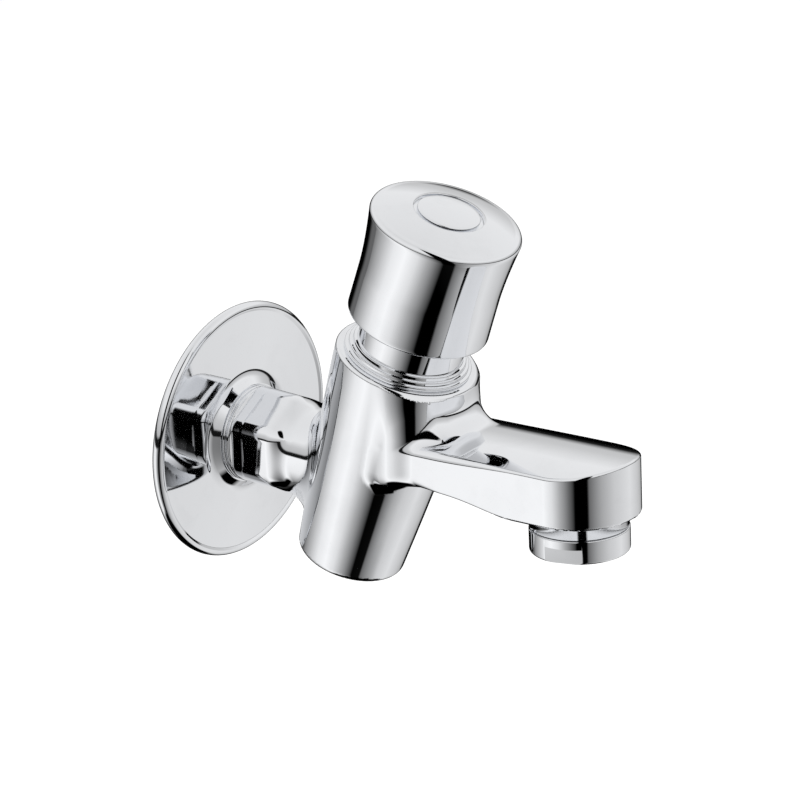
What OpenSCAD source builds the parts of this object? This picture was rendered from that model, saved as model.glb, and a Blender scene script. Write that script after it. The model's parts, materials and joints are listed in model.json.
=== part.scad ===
// Wall-mounted basin tap with a self-closing push button.
// Millimetres. X points out of the wall, Z points up and Y is the width.
// The origin lies in the plane of the wall, on the centreline of the inlet.
// The barrel has its own axis, which leans forward: heights on it are counted
// along that axis, from the point where it crosses the inlet centreline.

/* [Wall end] */
// Outer diameter of the round wall flange
flange_d = 70; // [60:1:90]
// Depth of the flange's rolled rim
flange_rim_h = 2.8; // [2.4:0.1:3.4]
// Distance from the wall to the face that the inlet collar bears on
flange_h = 6.2; // [5:0.1:7]
// Thickness of the flange's metal
flange_wall = 1.2; // [0.8:0.1:1.5]
// Outer diameter of the inlet's pipe thread
thread_d = 20.955; // [19:0.005:21.5]
// Length of the thread behind the wall plane
thread_len = 15; // [12:1:25]
// Bore at the inlet's mouth
inlet_bore_d = 13; // [12:0.5:14]
// Bore of the waterway between the strainer and the barrel
arm_bore_d = 12; // [9:0.5:12]

/* [Inlet arm] */
// Diameter of the two turned collars in front of the flange
collar_d = 26; // [25:0.2:28]
// Thickness of one collar
collar_t = 1; // [0.8:0.1:1.2]
// Width of the hexagon across its flats
hex_af = 25.2; // [24:0.1:27]
// Length of the hexagon
hex_len = 17; // [12:0.5:18]
// Turn of the hexagon from a flat that faces sideways
hex_turn = 3; // [0:1:15]
// Diameter of the waist between the hexagon and the barrel
neck_d = 23; // [20:0.2:24]
// Radius of the fillets that run from the waist into the barrel
neck_fillet_r = 7; // [4:0.5:8]

/* [Barrel] */
// Distance from the wall to the barrel axis, on the inlet centreline
barrel_x = 48; // [45:0.5:54]
// Forward lean of the barrel axis from the vertical
barrel_tilt = 17.6; // [12:0.2:20]
// Diameter at the barrel's mouth
barrel_top_d = 38; // [37:0.2:42]
// Diameter at the barrel's foot
barrel_foot_d = 28.6; // [27:0.2:32]
// Height of the barrel's mouth on its axis
barrel_top_w = 34.5; // [34:0.1:38]
// Depth of the barrel's foot on its axis
barrel_foot_w = 28.5; // [27:0.5:34]
// Rounding of the barrel's foot
foot_round_r = 3; // [1:0.5:4]

/* [Spout] */
// Distance from the wall to the nozzle axis
spout_reach = 113.5; // [108:0.5:130]
// Width of the spout
spout_w = 32.5; // [32:0.1:35]
// Upward slope of the spout and of its nozzle axis from the vertical
spout_tilt = 2.8; // [0:0.2:4]
// Height of the spout's top over the inlet centreline, at the nozzle
spout_top_h = 18; // [17.5:0.1:20]
// Height of the spout's underside over the inlet centreline, at the nozzle
spout_end_h = 3.3; // [2.5:0.1:4]
// Rise of the arch under the spout
arch_rise = 3.2; // [2:0.1:4]
// Radius of the crown across the spout's top
crown_r = 70; // [60:1:200]
// Radius of the fillet between the barrel and the spout's top
root_fillet_r = 8; // [4:0.5:10]
// Height of the flat waterway in the spout
duct_h = 4.8; // [3:0.1:5]
// Width of the flat waterway in the spout
duct_w = 16; // [10:0.5:18]

/* [Aerator] */
// Outer diameter of the aerator's housing
aerator_d = 26; // [25.6:0.1:28]
// Height of the housing below its thread
aerator_h = 6.3; // [5:0.1:8]
// Outer diameter of the housing's thread
aerator_thread_d = 24; // [23:0.1:24.4]
// Width across the two wrench flats
aerator_af = 24; // [23.6:0.1:25]
// Height of the wrench flats
aerator_flat_h = 4; // [3:0.1:4.5]
// Turn of the wrench flats from straight sideways
aerator_turn = 15; // [0:1:45]
// Height of the boss that the aerator screws into
boss_h = 3.4; // [2.5:0.1:4]

/* [Button] */
// Stroke of the push button
travel = 8; // [5:0.5:8]
// Diameter of the cap at its top rim
cap_top_d = 40; // [39:0.2:44]
// Diameter of the cap at its waist
cap_waist_d = 37.2; // [36.6:0.2:38.4]
// Gap between the barrel's mouth and the cap, with the button up
cap_gap = 11; // [10.8:0.1:14]
// Height of the cap's side
cap_h = 30.5; // [29:0.5:34]
// Rise of the dome on the cap
cap_dome_h = 3; // [2:0.1:4]
// Thickness of the cap's wall
cap_wall = 1.4; // [1:0.1:1.6]
// Diameter of the round recess in the cap's top
index_d = 18.6; // [16:0.2:22]
// Depth of that recess, at its edge
index_depth = 1.2; // [1:0.1:1.5]

/* [Bonnet] */
// Diameter of the bonnet nut's visible ring
bonnet_d = 33.8; // [33:0.2:35]
// Height of the stepped ring over the barrel's mouth
bonnet_h = 3; // [2.4:0.1:3.2]
// Diameter of the bonnet's sleeve, which the cap slides over
bonnet_sleeve_d = 28.2; // [27:0.2:29]
// Outer diameter of the bonnet's thread
bonnet_thread_d = 29.7; // [29:0.1:30.4]

/* [Cartridge] */
// Height of the ledge that the cartridge stands on
ledge_w = 4; // [3.5:0.1:5]
// Outer diameter of the cartridge sleeve
sleeve_d = 20; // [19:0.2:21]
// Wall of the cartridge sleeve
sleeve_wall = 2; // [1.6:0.1:2.2]
// Diameter of the valve seat's orifice
seat_bore_d = 9; // [7:0.5:10]
// Diameter of the spindle where the gland guides it
spindle_d = 6; // [5:0.2:7]
// Thickness of the rubber seat washer
washer_t = 2; // [1.5:0.1:3]
// Diameter of the return spring, measured to the wire's centre
spring_d = 12; // [11.6:0.2:13]
// Diameter of the spring's wire
spring_wire_d = 1; // [0.6:0.1:1]
// Number of turns in the return spring
spring_turns = 6; // [4:1:6]

/* [Hidden] */
$fn = 96;

// Small amount by which a cut runs past the face that it opens
eps = 0.5;
// Gap between seated parts of one assembly, such as a screw in its thread
seat_gap = 0.05;
// Gap round a thread that is drawn without its teeth
thread_gap = 0.15;
// Gap round rubber rings
ring_gap = 0.05;
// Running gap between parts that slide in one another
slide_gap = 0.06;
// Running gap between the cap and the bonnet's sleeve, and other wide gaps
free_gap = 0.3;
// Gap between the seat washer and its seat with the button up
washer_gap = 0.2;

chrome = [0.86, 0.87, 0.89];
brass = [0.78, 0.63, 0.33];
steel = [0.7, 0.71, 0.73];
rubber = [0.1, 0.1, 0.11];
white_plastic = [0.92, 0.92, 0.9];
grey_plastic = [0.5, 0.52, 0.55];

// Inlet
shank_r = thread_d / 2 - 0.45;
flange_bore_r = shank_r + free_gap;
collar_x = flange_h;
hex_x = collar_x + 2 * collar_t + 0.2;
hex_r = hex_af / 2 / cos(30);
hex_end_x = hex_x + hex_len;
strainer_x = -3;
strainer_t = 1.2;
strainer_cup_len = 6;
strainer_hole_r = 0.7;

// Barrel
lower_chamber_r = sleeve_d / 2 + 0.9;
outlet_floor_w = ledge_w + 7.8;
thread_floor_w = barrel_top_w - 10;
outlet_chamber_r = bonnet_thread_d / 2 - 1.4;
oring_cord = 1.5;
mouth_cut_r = bonnet_thread_d / 2 + thread_gap + oring_cord + 2 * ring_gap;
mouth_cut_h = oring_cord + 2 * ring_gap;
barrel_bulge = 1.25;
lip_round_r = 0.9;
foot_wall = 4.5;

// Spout, in the frame of the nozzle axis
spout_end_r = spout_w / 2;
nozzle_bore_r = aerator_thread_d / 2;
nozzle_roof_h = spout_end_h + 6.2;
duct_z = 10.4;
duct_start_x = barrel_x + 14;
boss_r = aerator_d / 2 - 0.2;
boss_bottom_h = spout_end_h - boss_h;
aerator_bore_r = nozzle_bore_r - 1.6;
aerator_top_h = boss_bottom_h - 0.3;
aerator_shelf_h = aerator_top_h - aerator_h + 1.4;
insert_h = 5.5;
screen_t = 0.5;
regulator_t = 2.6;

// Cartridge stack, from the ledge upward
gasket_t = 1;
seat_t = 2.5;
seat_bottom_w = ledge_w + gasket_t;
seat_top_w = seat_bottom_w + seat_t;
seat_nose_h = 0.6;
window_bottom_w = outlet_floor_w + 0.4;
window_h = 4.4;
sleeve_bore_r = sleeve_d / 2 - sleeve_wall;
piston_bottom_w = window_bottom_w + window_h + travel + 0.6;
piston_t = 3.5;
cup_t = 2.5;
shoulder_w = piston_bottom_w + piston_t + cup_t;
gland_bottom_w = shoulder_w + 0.5;
gland_spigot_h = 2.3;
gland_flange_h = 2;
sleeve_top_w = gland_bottom_w + gland_spigot_h;
gland_top_w = sleeve_top_w + gland_flange_h;
sleeve_groove_w = seat_top_w + 0.9;
groove_h = oring_cord + 0.1;

// Spindle
spindle_r = spindle_d / 2;
spindle_core_r = spindle_r - 0.6;
spindle_tail_r = spindle_core_r - 0.4;
washer_r = seat_bore_d / 2 + 2.3;
bleed_hole_r = 0.9;
bleed_hole_x = 5;
washer_top_w = seat_bottom_w - seat_nose_h - washer_gap;
washer_bottom_w = washer_top_w - washer_t;
retainer_t = 1.5;
nut_t = 3;
nut_top_w = washer_bottom_w - retainer_t;
tail_end_w = nut_top_w - nut_t - 1;

// Bonnet nut
bonnet_ring_w = barrel_top_w;
bonnet_sleeve_r = bonnet_sleeve_d / 2;
bonnet_bore_r = bonnet_sleeve_r - 1.6;
bonnet_web_t = 2;
cap_bottom_w = barrel_top_w + cap_gap;
bonnet_top_w = cap_bottom_w + travel + 3.5;

// Cap
cap_rim_w = cap_bottom_w + cap_h;
cap_bore_r = cap_waist_d / 2 - cap_wall;
cap_roof_t = 2.6;
cap_roof_w = cap_rim_w - cap_roof_t;
dome_r = (pow(cap_top_d / 2 - 1, 2) + pow(cap_dome_h, 2)) / (2 * cap_dome_h);
dome_top_w = cap_rim_w + cap_dome_h - 0.2;
index_r = index_d / 2;
index_floor_w = dome_top_w - dome_r + sqrt(pow(dome_r, 2) - pow(index_r, 2)) - index_depth;
insert_hub_r = 8;
insert_disc_t = 4;
insert_bottom_w = bonnet_top_w + 5;
insert_top_w = cap_roof_w;
circlip_t = 1;
spindle_top_w = insert_top_w - 2.5;
cap_screw_r = 2;
cap_screw_head_r = 3.6;
cap_screw_head_h = 2;
cap_screw_head_w = index_floor_w - cap_screw_head_h - 0.2;

// Points of an arc, from angle a0 to angle a1, with n steps
function arc(cx, cy, r, a0, a1, n = 8) =
    [for (i = [0:n]) let (a = a0 + (a1 - a0) * i / n) [cx + r * cos(a), cy + r * sin(a)]];

// Radius of the barrel's outside at height w
function barrel_r(w) =
    let (full = barrel_top_w + barrel_foot_w - lip_round_r)
    barrel_top_d / 2 - (barrel_top_d - barrel_foot_d) / 2
    * pow(min(1, max(0, (barrel_top_w - lip_round_r - w) / full)), barrel_bulge);

// Places its children in the frame of the barrel axis
module on_barrel() {
    translate([barrel_x, 0, 0])
        rotate([0, barrel_tilt, 0])
            children();
}

// Places its children in the frame of the nozzle axis
module on_nozzle() {
    translate([spout_reach, 0, 0])
        rotate([0, -spout_tilt, 0])
            children();
}

// Turns the local Z axis onto X
module on_inlet(x = 0) {
    translate([x, 0, 0])
        rotate([0, 90, 0])
            children();
}

module ring(outer_r, inner_r, bottom, top) {
    translate([0, 0, bottom])
        difference() {
            cylinder(r = outer_r, h = top - bottom);
            translate([0, 0, -eps])
                cylinder(r = inner_r, h = top - bottom + 2 * eps);
        }
}

module rod(r, bottom, top) {
    translate([0, 0, bottom])
        cylinder(r = r, h = top - bottom);
}

module oring(mean_r, cord_r, w) {
    translate([0, 0, w])
        rotate_extrude()
            translate([mean_r, 0])
                circle(r = cord_r, $fn = 24);
}

// Outside of the barrel: a bulging taper with a rounded foot and lip
module barrel_shell() {
    foot_r = barrel_r(-barrel_foot_w + foot_round_r);
    rotate_extrude()
        polygon(concat(
            [[0, -barrel_foot_w]],
            arc(foot_r - foot_round_r, -barrel_foot_w + foot_round_r, foot_round_r, -90, 0, 6),
            [for (i = [1:11])
                let (w = -barrel_foot_w + foot_round_r
                    + (barrel_top_w + barrel_foot_w - foot_round_r - lip_round_r) * i / 12)
                [barrel_r(w), w]],
            arc(barrel_top_d / 2 - lip_round_r, barrel_top_w - lip_round_r, lip_round_r, 0, 90, 4),
            [[0, barrel_top_w]]));
}

// Side outline of the spout: flat top, arched underside, in the nozzle's frame
function spout_side() =
    let (back = barrel_x - spout_reach)
    concat(
        [[back, spout_top_h], [spout_end_r + eps, spout_top_h], [spout_end_r + eps, spout_end_h]],
        [for (i = [0:16])
            let (t = i / 16)
            [-10 - t * (-10 - back - 14), spout_end_h + arch_rise * pow(sin(150 * t), 1.4)]],
        [[back, spout_end_h + arch_rise * 0.3]]);

module spout_plan() {
    cylinder(r = spout_end_r, h = 2 * spout_top_h);
    translate([barrel_x - spout_reach, -spout_w / 2, 0])
        cube([spout_reach - barrel_x, spout_w, 2 * spout_top_h]);
}

module spout_shell() {
    on_nozzle() {
        intersection() {
            rotate([90, 0, 0])
                linear_extrude(height = spout_w + 2, center = true)
                    polygon(spout_side());
            spout_plan();
            translate([barrel_x - spout_reach - spout_end_r, 0, spout_top_h - crown_r])
                rotate([0, 90, 0])
                    cylinder(r = crown_r, h = spout_reach - barrel_x + 3 * spout_end_r, $fn = 360);
        }
    }
}

// Fillet that flares from the barrel's front onto the spout's top
module root_fillet() {
    foot = spout_top_h - (spout_reach - barrel_x) * sin(spout_tilt);
    waist_r = barrel_r(foot);
    lean = root_fillet_r * 0.42;
    skirt = 2;
    inset = 0.1;
    intersection() {
        translate([barrel_x + foot * tan(barrel_tilt) + lean, 0, foot - 1.2])
            rotate([0, -spout_tilt, 0])
                rotate_extrude()
                    polygon(concat(
                        [[0, -skirt], [waist_r + root_fillet_r, -skirt]],
                        arc(waist_r + root_fillet_r, root_fillet_r, root_fillet_r, -90, -180, 10),
                        [[0, root_fillet_r]]));
        translate([barrel_x, inset - spout_w / 2, 0])
            cube([spout_reach - barrel_x, spout_w - 2 * inset, 2 * spout_top_h]);
    }
}

module hexagon() {
    chamfer = 1.6;
    crown = hex_len / 2 - 0.5;
    crown_sweep = 65;
    intersection() {
        on_inlet(hex_x)
            rotate([0, 0, hex_turn])
                cylinder(r = hex_r, h = hex_len, $fn = 6);
        on_inlet(hex_x)
            rotate_extrude()
                polygon(concat(
                    [[0, 0], [hex_r - chamfer, 0], [hex_r, chamfer]],
                    arc(hex_r - crown, hex_len - crown, crown, 0, crown_sweep, 8),
                    [[0, hex_len]]));
    }
}

// Round waist behind the barrel, with fillets above and below
module neck() {
    r = neck_d / 2;
    inset = 0.4;
    start_x = hex_end_x - 4;
    // Where the inlet centreline leaves the barrel's back, and the slope of that back
    back_w = -barrel_r(0) * sin(barrel_tilt);
    taper = atan((barrel_r(back_w + r) - barrel_r(back_w - r)) / (2 * r));
    lean = barrel_tilt - taper;
    flare_x = barrel_x + back_w * sin(barrel_tilt) - barrel_r(back_w) * cos(barrel_tilt) + 0.15;
    on_inlet(start_x)
        cylinder(r = r, h = barrel_x - start_x);
    // The flare's rim lies along the back of the barrel
    intersection() {
        translate([flare_x, 0, 0])
            rotate([0, 90 + lean, 0])
                rotate_extrude()
                    polygon(concat(
                        [[0, -neck_fillet_r], [r, -neck_fillet_r]],
                        arc(r + neck_fillet_r, -neck_fillet_r, neck_fillet_r, 180, 90, 8),
                        [[r + neck_fillet_r, 4], [0, 4]]));
        translate([flare_x - 2 * neck_fillet_r, inset - r, -2 * neck_d])
            cube([4 * neck_fillet_r, 2 * (r - inset), 4 * neck_d]);
    }
}

module inlet_shell() {
    on_inlet(-thread_len) {
        cylinder(r1 = thread_d / 2 - 1, r2 = thread_d / 2, h = 1);
        translate([0, 0, 1])
            cylinder(r = thread_d / 2, h = thread_len - 1);
    }
    on_inlet(-eps)
        cylinder(r = shank_r, h = hex_x + 2 * eps);
    on_inlet(collar_x)
        cylinder(r = collar_d / 2, h = collar_t);
    on_inlet(collar_x + collar_t)
        cylinder(r = collar_d / 2 - 0.7, h = 0.2);
    on_inlet(collar_x + collar_t + 0.2)
        cylinder(r = collar_d / 2, h = collar_t);
}

module waterways() {
    // Inlet mouth, the narrower bore behind the strainer's seat
    on_inlet(-thread_len - eps)
        cylinder(d = inlet_bore_d, h = thread_len + eps + strainer_x);
    on_inlet(strainer_x - eps)
        cylinder(d = arm_bore_d, h = barrel_x - 10 - strainer_x + eps);
    on_barrel() {
        rod(lower_chamber_r, foot_wall - barrel_foot_w, 0);
        rod(sleeve_d / 2 - 1, -eps, ledge_w + eps);
        rod(sleeve_d / 2 + slide_gap, ledge_w, outlet_floor_w + eps);
        rod(outlet_chamber_r, outlet_floor_w, thread_floor_w + eps);
        rod(bonnet_thread_d / 2 + thread_gap, thread_floor_w, barrel_top_w + eps);
        rod(mouth_cut_r, barrel_top_w - mouth_cut_h, barrel_top_w + eps);
    }
    // Flat duct to the nozzle
    duct_len = spout_reach - duct_start_x;
    translate([duct_start_x, 0, duct_z]) {
        translate([0, -(duct_w - duct_h) / 2, -duct_h / 2])
            cube([duct_len, duct_w - duct_h, duct_h]);
        for (side = [-1, 1])
            translate([0, side * (duct_w - duct_h) / 2, 0])
                rotate([0, 90, 0])
                    cylinder(d = duct_h, h = duct_len, $fn = 32);
    }
    on_nozzle() {
        rod(nozzle_bore_r - 2.4, spout_end_h, duct_z + duct_h / 2 - 0.4);
        rod(nozzle_bore_r, boss_bottom_h - eps, nozzle_roof_h);
    }
}

module valve_body() {
    color(chrome)
        difference() {
            union() {
                on_barrel()
                    barrel_shell();
                spout_shell();
                root_fillet();
                hexagon();
                neck();
                inlet_shell();
                on_nozzle()
                    rod(boss_r, boss_bottom_h, spout_end_h + 1);
            }
            waterways();
        }
}

// Domed pressing with a rolled rim, open towards the wall
module wall_flange() {
    rim_r = flange_d / 2;
    rim_round = flange_rim_h / 2;
    bear_r = collar_d / 2 + 0.4;
    face_r = rim_r - rim_round;
    steps = 10;
    // The face rises from the rim to the flat that the collar bears on
    outside = [for (i = [0:steps])
        let (t = i / steps)
        [face_r + (bear_r - face_r) * t,
            flange_rim_h + (flange_h - flange_rim_h) * sin(90 * t)]];
    inside = [for (i = [0:steps])
        let (t = 1 - i / steps)
        [face_r - flange_wall * 0.6 + (bear_r - face_r) * t,
            flange_rim_h + (flange_h - flange_rim_h) * sin(90 * t) - flange_wall]];
    color(chrome)
        on_inlet()
            rotate_extrude($fn = 144)
                polygon(concat(
                    [[rim_r - 2.4, 0], [rim_r - rim_round, 0]],
                    arc(rim_r - rim_round, rim_round, rim_round, -90, 90, 10),
                    outside,
                    [[flange_bore_r, flange_h], [flange_bore_r, flange_h - flange_wall]],
                    inside));
}

module inlet_strainer() {
    rim_r = inlet_bore_d / 2 - seat_gap;
    cup_r = arm_bore_d / 2 - free_gap;
    cup_wall = 0.6;
    color(steel)
        on_inlet(strainer_x)
            difference() {
                union() {
                    ring(rim_r, cup_r - cup_wall, -strainer_t, 0);
                    ring(cup_r, cup_r - cup_wall, -strainer_t / 2, strainer_cup_len);
                    rod(cup_r, strainer_cup_len - cup_wall, strainer_cup_len);
                }
                for (k = [0:2])
                    for (i = [0:max(0, 6 * k - 1)])
                        rotate([0, 0, 60 * i / max(1, k)])
                            translate([k * 2.1, 0, strainer_cup_len - cup_wall - eps])
                                cylinder(r = strainer_hole_r, h = cup_wall + 2 * eps, $fn = 16);
                for (i = [0:7])
                    rotate([0, 0, 45 * i])
                        translate([cup_r - 2 * cup_wall, -strainer_hole_r, 1])
                            cube([3 * cup_wall, 2 * strainer_hole_r, strainer_cup_len - 3]);
            }
}

// Threaded nut with a stepped ring and the bright sleeve under the cap
module bonnet_nut() {
    ring_r = bonnet_d / 2;
    w0 = bonnet_ring_w;
    step = bonnet_h / 3;
    color(chrome)
        on_barrel()
            difference() {
                union() {
                    rod(bonnet_thread_d / 2, thread_floor_w + 0.3, w0 + 0.2);
                    rotate_extrude()
                        polygon([
                            [0, w0 + 0.05], [ring_r - 0.2, w0 + 0.05], [ring_r, w0 + 0.25],
                            [ring_r, w0 + step - 0.3], [ring_r - 0.3, w0 + step],
                            [ring_r - 0.8, w0 + step], [ring_r - 0.95, w0 + step + 0.2],
                            [ring_r - 0.95, w0 + 2 * step - 0.25], [ring_r - 1.2, w0 + 2 * step],
                            [ring_r - 1.7, w0 + 2 * step], [ring_r - 1.85, w0 + 2 * step + 0.2],
                            [ring_r - 1.95, w0 + bonnet_h - 0.2], [ring_r - 2.1, w0 + bonnet_h],
                            [bonnet_sleeve_r, w0 + bonnet_h + 0.2],
                            [bonnet_sleeve_r, bonnet_top_w - 0.5],
                            [bonnet_sleeve_r - 0.5, bonnet_top_w], [0, bonnet_top_w]]);
                }
                rod(sleeve_d / 2 + thread_gap, thread_floor_w - eps, gland_top_w);
                rod(spindle_r + 2, gland_top_w - eps, gland_top_w + bonnet_web_t + eps);
                rod(bonnet_bore_r, gland_top_w + bonnet_web_t, bonnet_top_w + eps);
            }
}

module bonnet_oring() {
    mean_r = bonnet_thread_d / 2 + thread_gap + ring_gap + oring_cord / 2;
    color(rubber)
        on_barrel()
            oring(mean_r - thread_gap / 2, oring_cord / 2, barrel_top_w - mouth_cut_h / 2);
}

module cartridge_sleeve() {
    color(white_plastic)
        on_barrel()
            difference() {
                rod(sleeve_d / 2, seat_top_w, sleeve_top_w);
                rod(sleeve_bore_r, seat_top_w - eps, sleeve_top_w + eps);
                // Groove for the lower ring
                ring(sleeve_d / 2 + eps, sleeve_d / 2 - oring_cord + 0.3,
                    sleeve_groove_w, sleeve_groove_w + groove_h);
                // Four windows that let the water out to the spout
                for (i = [0:3])
                    rotate([0, 0, 90 * i])
                        translate([0, -3.5, window_bottom_w])
                            cube([sleeve_d, 7, window_h]);
            }
}

module sleeve_oring() {
    cord_r = (oring_cord - 0.3 + slide_gap) / 2 - ring_gap;
    inner_r = sleeve_d / 2 - oring_cord + 0.3;
    color(rubber)
        on_barrel()
            oring(inner_r + ring_gap + cord_r, cord_r, sleeve_groove_w + groove_h / 2);
}

module seat_gasket() {
    color(rubber)
        on_barrel()
            ring(sleeve_d / 2 - seat_gap, sleeve_d / 2 - 1.6, ledge_w, ledge_w + gasket_t);
}

// Steel seat with a rounded nose that the washer closes against from below
module seat_ring() {
    nose_r = seat_bore_d / 2 + 0.5;
    color(steel)
        on_barrel()
            difference() {
                union() {
                    rod(sleeve_d / 2 - seat_gap, seat_bottom_w, seat_top_w);
                    rotate_extrude()
                        translate([nose_r, seat_bottom_w])
                            scale([0.5, seat_nose_h])
                                circle(r = 1, $fn = 24);
                }
                rod(seat_bore_d / 2, seat_bottom_w - seat_nose_h - eps, seat_top_w + eps);
            }
}

module gland_bush() {
    spigot_r = sleeve_bore_r - seat_gap;
    color(brass)
        on_barrel()
            difference() {
                union() {
                    rod(spigot_r, gland_bottom_w, sleeve_top_w + 0.01);
                    rod(sleeve_d / 2, sleeve_top_w, gland_top_w);
                }
                rod(spindle_r + slide_gap, gland_bottom_w - eps, gland_top_w + eps);
                ring(spigot_r + eps, spigot_r - 1, gland_bottom_w + 0.6, gland_bottom_w + 1.7);
                rod(spindle_r + 1.2, gland_top_w - 2.2, gland_top_w - 0.9);
            }
}

module gland_oring() {
    spigot_r = sleeve_bore_r - seat_gap;
    cord_r = (1 + seat_gap) / 2 - ring_gap;
    color(rubber)
        on_barrel()
            oring(spigot_r - 1 + ring_gap + cord_r, cord_r, gland_bottom_w + 1.15);
}

module spindle_oring() {
    cord_r = 0.6 - ring_gap;
    color(rubber)
        on_barrel()
            oring(spindle_r + 0.6 + slide_gap / 2, cord_r, gland_top_w - 1.55);
}

// Round-wire compression spring with closed ends: a tube swept along a helix
module return_spring() {
    sides = 6;
    rings_per_turn = 20;
    end_turns = 1;
    wire_r = spring_wire_d / 2;
    bottom = seat_top_w + wire_r + 0.1;
    top = piston_bottom_w - wire_r - 0.1;
    turns = spring_turns;
    close_rise = (spring_wire_d + 0.15) * end_turns;
    steps = turns * rings_per_turn;
    function rise(t) =
        t < end_turns ? close_rise * t / end_turns
        : t > turns - end_turns ? top - bottom - close_rise * (turns - t) / end_turns
        : close_rise + (top - bottom - 2 * close_rise) * (t - end_turns) / (turns - 2 * end_turns);
    points = [for (i = [0:steps]) for (j = [0:sides - 1])
        let (t = i / rings_per_turn, a = 360 * t, b = 360 * j / sides)
        [(spring_d / 2 + wire_r * cos(b)) * cos(a),
            (spring_d / 2 + wire_r * cos(b)) * sin(a),
            bottom + rise(t) + wire_r * sin(b)]];
    walls = [for (i = [0:steps - 1]) for (j = [0:sides - 1]) for (half = [0, 1])
        let (k = (j + 1) % sides, a = i * sides, b = (i + 1) * sides)
        half == 0 ? [a + j, a + k, b + k] : [a + j, b + k, b + j]];
    first_end = [for (j = [1:sides - 2]) [0, j + 1, j]];
    last_end = [for (j = [1:sides - 2]) [steps * sides, steps * sides + j, steps * sides + j + 1]];
    color(steel)
        on_barrel()
            polyhedron(points = points, faces = concat(walls, first_end, last_end));
}

module aerator_housing() {
    top_h = aerator_top_h;
    bottom_h = top_h - aerator_h;
    r = aerator_d / 2;
    color(chrome)
        on_nozzle()
            difference() {
                union() {
                    rotate_extrude()
                        polygon([
                            [0, bottom_h], [r - 0.6, bottom_h], [r, bottom_h + 0.6],
                            [r, top_h - 0.4], [r - 0.4, top_h], [0, top_h]]);
                    rod(nozzle_bore_r - thread_gap, top_h - eps, nozzle_roof_h - gasket_t - 0.1);
                }
                rod(aerator_bore_r, bottom_h + 1.4, nozzle_roof_h);
                rod(aerator_bore_r - 1, bottom_h - eps, nozzle_roof_h);
                rotate([0, 0, aerator_turn])
                    for (side = [-1, 1])
                        translate([-r, side * (aerator_af / 2 + r) - r, bottom_h - eps])
                            cube([2 * r, 2 * r, aerator_flat_h + eps]);
            }
}

module aerator_gasket() {
    color(rubber)
        on_nozzle()
            ring(nozzle_bore_r - thread_gap, aerator_bore_r - 0.6,
                nozzle_roof_h - gasket_t - 0.05, nozzle_roof_h - 0.05);
}

// Hexagonal spread of round holes: rings of 6, 12 and 18 round one in the middle
module jet_holes(pitch, rings, r, bottom, top) {
    for (u = [-rings:rings])
        for (v = [max(-rings, -rings - u):min(rings, rings - u)])
            translate([pitch * (u + v / 2), pitch * v * sin(60), bottom])
                cylinder(r = r, h = top - bottom, $fn = 16);
}

module aerator_insert() {
    color(grey_plastic)
        on_nozzle()
            difference() {
                rod(aerator_bore_r - seat_gap, aerator_shelf_h, aerator_shelf_h + insert_h);
                jet_holes(2.5, 3, 1, aerator_shelf_h - eps, aerator_shelf_h + insert_h + eps);
            }
}

module aerator_screen() {
    bottom = aerator_shelf_h + insert_h;
    color(steel)
        on_nozzle()
            difference() {
                rod(aerator_bore_r - seat_gap, bottom, bottom + screen_t);
                jet_holes(1.9, 4, 0.6, bottom - eps, bottom + screen_t + eps);
            }
}

// Plastic dish with a flexing ring that holds the flow steady
module flow_regulator() {
    bottom = aerator_shelf_h + insert_h + screen_t;
    top = bottom + regulator_t;
    color(white_plastic)
        on_nozzle()
            difference() {
                rod(aerator_bore_r - seat_gap, bottom, top);
                rod(aerator_bore_r - 1.4, bottom + 1, top + eps);
                for (i = [0:7])
                    rotate([0, 0, 45 * i])
                        translate([(aerator_bore_r - 1.4) * 0.62, 0, bottom - eps])
                            cylinder(r = 1.3, h = 1 + 2 * eps, $fn = 24);
            }
}

// Outside of the cap: nearly straight below, flared at the top, with a low dome
function cap_side_r(t) =
    cap_waist_d / 2 + 0.12 * pow(1 - t, 3)
    + (cap_top_d - cap_waist_d) / 2 * pow(max(0, (t - 0.42) / 0.58), 1.6);

module cap_outside() {
    rim_round = 0.9;
    rim_sweep = 80;
    edge_round = 0.9;
    side_h = cap_h - rim_round - edge_round;
    bottom_r = cap_side_r(0);
    top_r = cap_side_r(1);
    steps = 14;
    rotate_extrude()
        polygon(concat(
            [[0, cap_bottom_w]],
            arc(bottom_r - edge_round, cap_bottom_w + edge_round, edge_round, -90, 0, 4),
            [for (i = [1:steps - 1])
                [cap_side_r(i / steps), cap_bottom_w + edge_round + side_h * i / steps]],
            arc(top_r - rim_round, cap_rim_w - rim_round, rim_round, 0, rim_sweep, 5),
            [[0, cap_rim_w]]));
}

module cap_dome() {
    intersection() {
        translate([0, 0, dome_top_w - dome_r])
            sphere(r = dome_r, $fn = 180);
        rod(cap_top_d / 2 - 0.9, cap_rim_w - 2, dome_top_w + 1);
    }
}

module push_cap() {
    color(chrome)
        on_barrel()
            difference() {
                union() {
                    cap_outside();
                    cap_dome();
                }
                rod(cap_bore_r, cap_bottom_w - eps, cap_roof_w);
                rod(index_r, index_floor_w, dome_top_w + eps);
                rod(cap_screw_head_r + 0.3, cap_screw_head_w - seat_gap, index_floor_w + eps);
                rod(cap_screw_r + 0.2, cap_roof_w - eps, index_floor_w);
            }
}

// Round plate that hides the cap's screw, with a groove round it
module index_plate() {
    groove = 0.9;
    color(chrome)
        on_barrel() {
            rod(index_r - seat_gap, index_floor_w, index_floor_w + 0.5);
            intersection() {
                rod(index_r - groove, index_floor_w, dome_top_w + eps);
                translate([0, 0, dome_top_w - dome_r])
                    sphere(r = dome_r, $fn = 180);
            }
        }
}

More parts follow.
